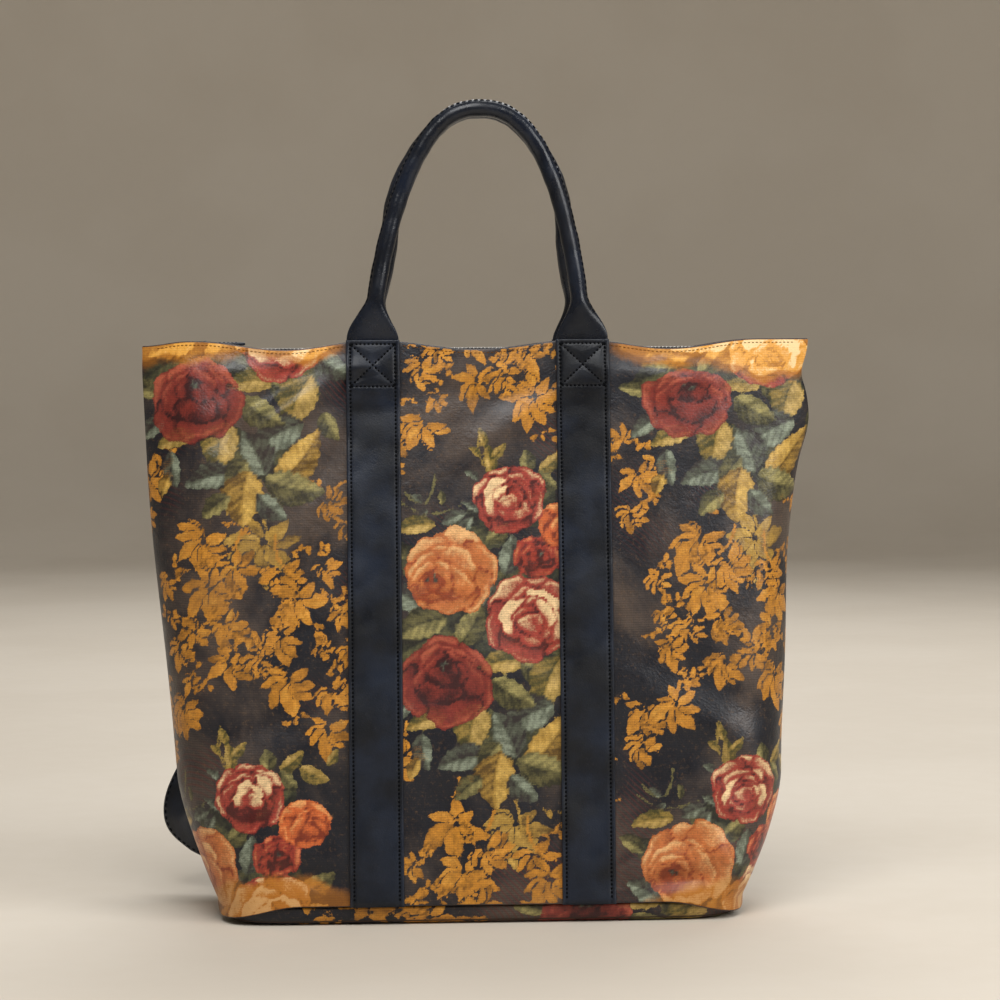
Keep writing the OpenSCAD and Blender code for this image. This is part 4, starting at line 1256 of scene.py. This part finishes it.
def shoulder_strap(name, reach, side):
    """A strap that leaves the base, curls out and climbs to the patch, stitched on both faces."""
    section = flat_section(SHOULDER_W, SHOULDER_T, 11, 0.4 * MM, SHOULDER_STITCH_IN)
    mirror = np.array([side, 1, 1])
    rings = []
    rows = {(edge, face): [] for edge in (-1, 1) for face in (-1, 1)}
    facing = {-1: [], 1: []}
    for t in np.linspace(0, ROUTE_LAST, ROUTE_LAST * ROUTE_STEPS + 1):
        p = route_point(reach, t)
        across, thick = route_frame(reach, t)
        ring = p + np.outer(section[:, 0], across) + np.outer(section[:, 1] - SHOULDER_T / 2, thick)
        rings.append(ring * mirror)
        for face in (-1, 1):
            facing[face].append(thick * face * mirror)
            for edge in (-1, 1):
                lift = face * (SHOULDER_T / 2 - (0.25 * MM if face > 0 else 0))
                row = p + across * edge * (SHOULDER_W / 2 - SHOULDER_STITCH_IN) + thick * lift
                rows[edge, face].append(row * mirror)
    rings = np.array(rings)
    if side > 0:
        rings = rings[:, ::-1]
    piece = sweep(name + "_leather", rings, NAVY)
    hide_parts(name)
    lines = [(np.array(path)[4:-4], np.array(facing[face])[4:-4]) for (edge, face), path in rows.items()]
    stitches(name + "_stitches", lines, NAVY_THREAD, SHOULDER_STITCH)


shoulder_strap("shoulder_strap_left", LEFT_REACH, side=-1)
shoulder_strap("shoulder_strap_right", RIGHT_REACH, side=1)


def patch_surface(x, z, out):
    """A point over the patch's underside, which stands proud only where a strap lies under it."""
    over = ease((UPPER_END_X + SHOULDER_W / 2 + 3.5 * MM - np.abs(x)) / (3.5 * MM))
    between = ease((UPPER_END_X - SHOULDER_W / 2 - np.abs(x)) / (8 * MM))
    below = ease((PATCH_HIGH.z - 1 * MM - z) / (5 * MM))
    lift = SEW_GAP + (SHOULDER_T + SEW_GAP) * over * below * (1 - 0.5 * between)
    y = np.maximum(half_depth(z) + SEAM_GAP / 2, skin_depth(x, z, True))
    return np.stack([x, y + lift + out, z], -1)


def strap_patch():
    """The patch over the upper ends of both shoulder straps, stitched all round."""
    section = flat_section(PATCH_HIGH.x - PATCH_LOW.x, PATCH_T, 61, 0.35 * MM, PATCH_STITCH_IN)
    rings = []
    for z in np.linspace(PATCH_LOW.z, PATCH_HIGH.z, 31):
        rings.append(patch_surface(section[:, 0], np.full(len(section), z), section[:, 1]))
    piece = sweep("strap_patch_leather", np.array(rings)[:, ::-1], NAVY)
    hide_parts("strap_patch")
    wide = PATCH_HIGH.x - PATCH_STITCH_IN
    low, high = PATCH_LOW.z + PATCH_STITCH_IN, PATCH_HIGH.z - PATCH_STITCH_IN
    span = np.linspace(-1, 1, 80)
    lines = [(span * wide, 0 * span + z) for z in (low, high)]
    lines += [(0 * span + side * wide, mix(low, high, (span + 1) / 2)) for side in (-1, 1)]
    rows = [(patch_surface(x, z, PATCH_T - PATCH_STITCH_SINK), (0, 1, 0)) for x, z in lines]
    stitches("strap_patch_stitches", rows, NAVY_THREAD, PATCH_STITCH)


strap_patch()

# Stitching that holds the folded rim down


def rim_stitches(name, mirrored):
    """Rows along the rim, left out under the straps."""
    rows = []
    s = np.linspace(-RIM_STITCH_END, RIM_STITCH_END, 500)
    z = rim_height(s * MOUTH_W / 2) - RIM_STITCH_IN
    x = s * half_width(z)
    depth = skin_depth(x, z, mirrored)
    free = np.abs(np.abs(x) - STRAP_X) > STRAP_W / 2 + 1 * MM
    path = np.stack([x, depth if mirrored else -depth, z], -1)
    for part in np.split(np.arange(len(s)), np.nonzero(np.diff(free.astype(int)))[0] + 1):
        if free[part[0]] and len(part) > 3:
            rows.append((path[part], (0, 1 if mirrored else -1, 0)))
    stitches(name, rows, BROWN_THREAD, RIM_STITCH)


rim_stitches("front_rim_stitches", mirrored=False)
rim_stitches("back_rim_stitches", mirrored=True)

# CAD nodes that stay get the same finishes

FINISHES = {
    "zip_tape_front": TAPE, "zip_tape_back": TAPE, "zip_end_left": NAVY, "zip_end_right": NAVY,
    "zip_stops": ZIP_METAL, "zip_slider": ZIP_METAL, "pull_link": ZIP_METAL,
    "strap_slide_left": STRAP_METAL, "strap_slide_right": STRAP_METAL,
}
for node, finish in FINISHES.items():
    kept = frame["nodes"][node]
    kept.data.materials.clear()
    kept.data.materials.append(finish)

# Stage, light and camera


def backdrop():
    """A pale floor that bends up into a round wall."""
    s = Shader("backdrop")
    s.set(Base_Color=s.blend(s.remap(s.noise(3), 0.4, 0.6, 0.0, 0.4), rgba("cdc4b6"), rgba("c5bbac")))
    s.set(Roughness=s.remap(s.noise(40), 0.3, 0.7, 0.8, 0.95))
    floor_r, wall_r, wall_top = 3.4, 4.4, 3.6
    profile = [(0.02, 0.0), (floor_r, 0.0)]
    profile += [(floor_r + math.sin(a), 1 - math.cos(a)) for a in np.linspace(0.1, math.pi / 2, 12)]
    profile += [(wall_r, wall_top)]
    sides = 64
    points = []
    for r, z in profile:
        for k in range(sides):
            a = 2 * math.pi * k / sides
            points.append((r * math.cos(a), r * math.sin(a), z - 0.2 * MM))
    faces = [face[::-1] for face in grid_faces(len(profile), sides, wrap_cols=True)]
    faces.append(list(range(sides)))
    mesh = bpy.data.meshes.new("backdrop")
    mesh.from_pydata(points, [], faces)
    mesh.shade_smooth()
    floor = bpy.data.objects.new("backdrop", mesh)
    bpy.context.scene.collection.objects.link(floor)
    mesh.materials.append(s.material)


def lamp(name, place, target, size, power):
    data = bpy.data.lights.new(name, "AREA")
    data.shape = "RECTANGLE"
    data.size, data.size_y = size
    data.energy = power
    made = bpy.data.objects.new(name, data)
    made.location = place
    made.rotation_euler = (Vector(target) - Vector(place)).to_track_quat("-Z", "Y").to_euler()
    bpy.context.scene.collection.objects.link(made)


def camera():
    """Camera a little to the left of the middle, level with the upper half of the bag."""
    yaw, pitch, roll = math.radians(2.9), math.radians(-2.8), math.radians(-0.3)
    distance, height, aside = 2.0, 0.369, 0.0150
    data = bpy.data.cameras.new("camera")
    data.sensor_width = 36
    data.lens = 109.1
    made = bpy.data.objects.new("camera", data)
    x = -math.sin(yaw) * distance + math.cos(yaw) * aside
    y = -math.cos(yaw) * distance - math.sin(yaw) * aside
    made.location = (x, y, height)
    look = Vector((math.sin(yaw) * math.cos(pitch), math.cos(yaw) * math.cos(pitch), math.sin(pitch)))
    turned = look.to_track_quat("-Z", "Y") @ Quaternion((0, 0, 1), roll)
    made.rotation_euler = turned.to_euler()
    bpy.context.scene.collection.objects.link(made)
    bpy.context.scene.camera = made


def world():
    made = bpy.data.worlds.new("world")
    bpy.context.scene.world = made
    made.use_nodes = True
    sky = made.node_tree.nodes["Background"]
    sky.inputs["Color"].default_value = (1.0, 0.99, 0.97, 1)
    sky.inputs["Strength"].default_value = 0.28


backdrop()
world()
lamp("key", place=(-0.2, -1.15, 1.85), target=(0, 0, 0.38), size=(1.1, 1.1), power=29)
lamp("fill", place=(1.8, -1.5, 1.5), target=(0, 0, 0.34), size=(1.3, 1.3), power=34)
lamp("back", place=(0.5, 1.8, 2.0), target=(0, 0, 0.3), size=(2.4, 1.8), power=42)
camera()
bpy.context.scene.view_settings.view_transform = "Standard"
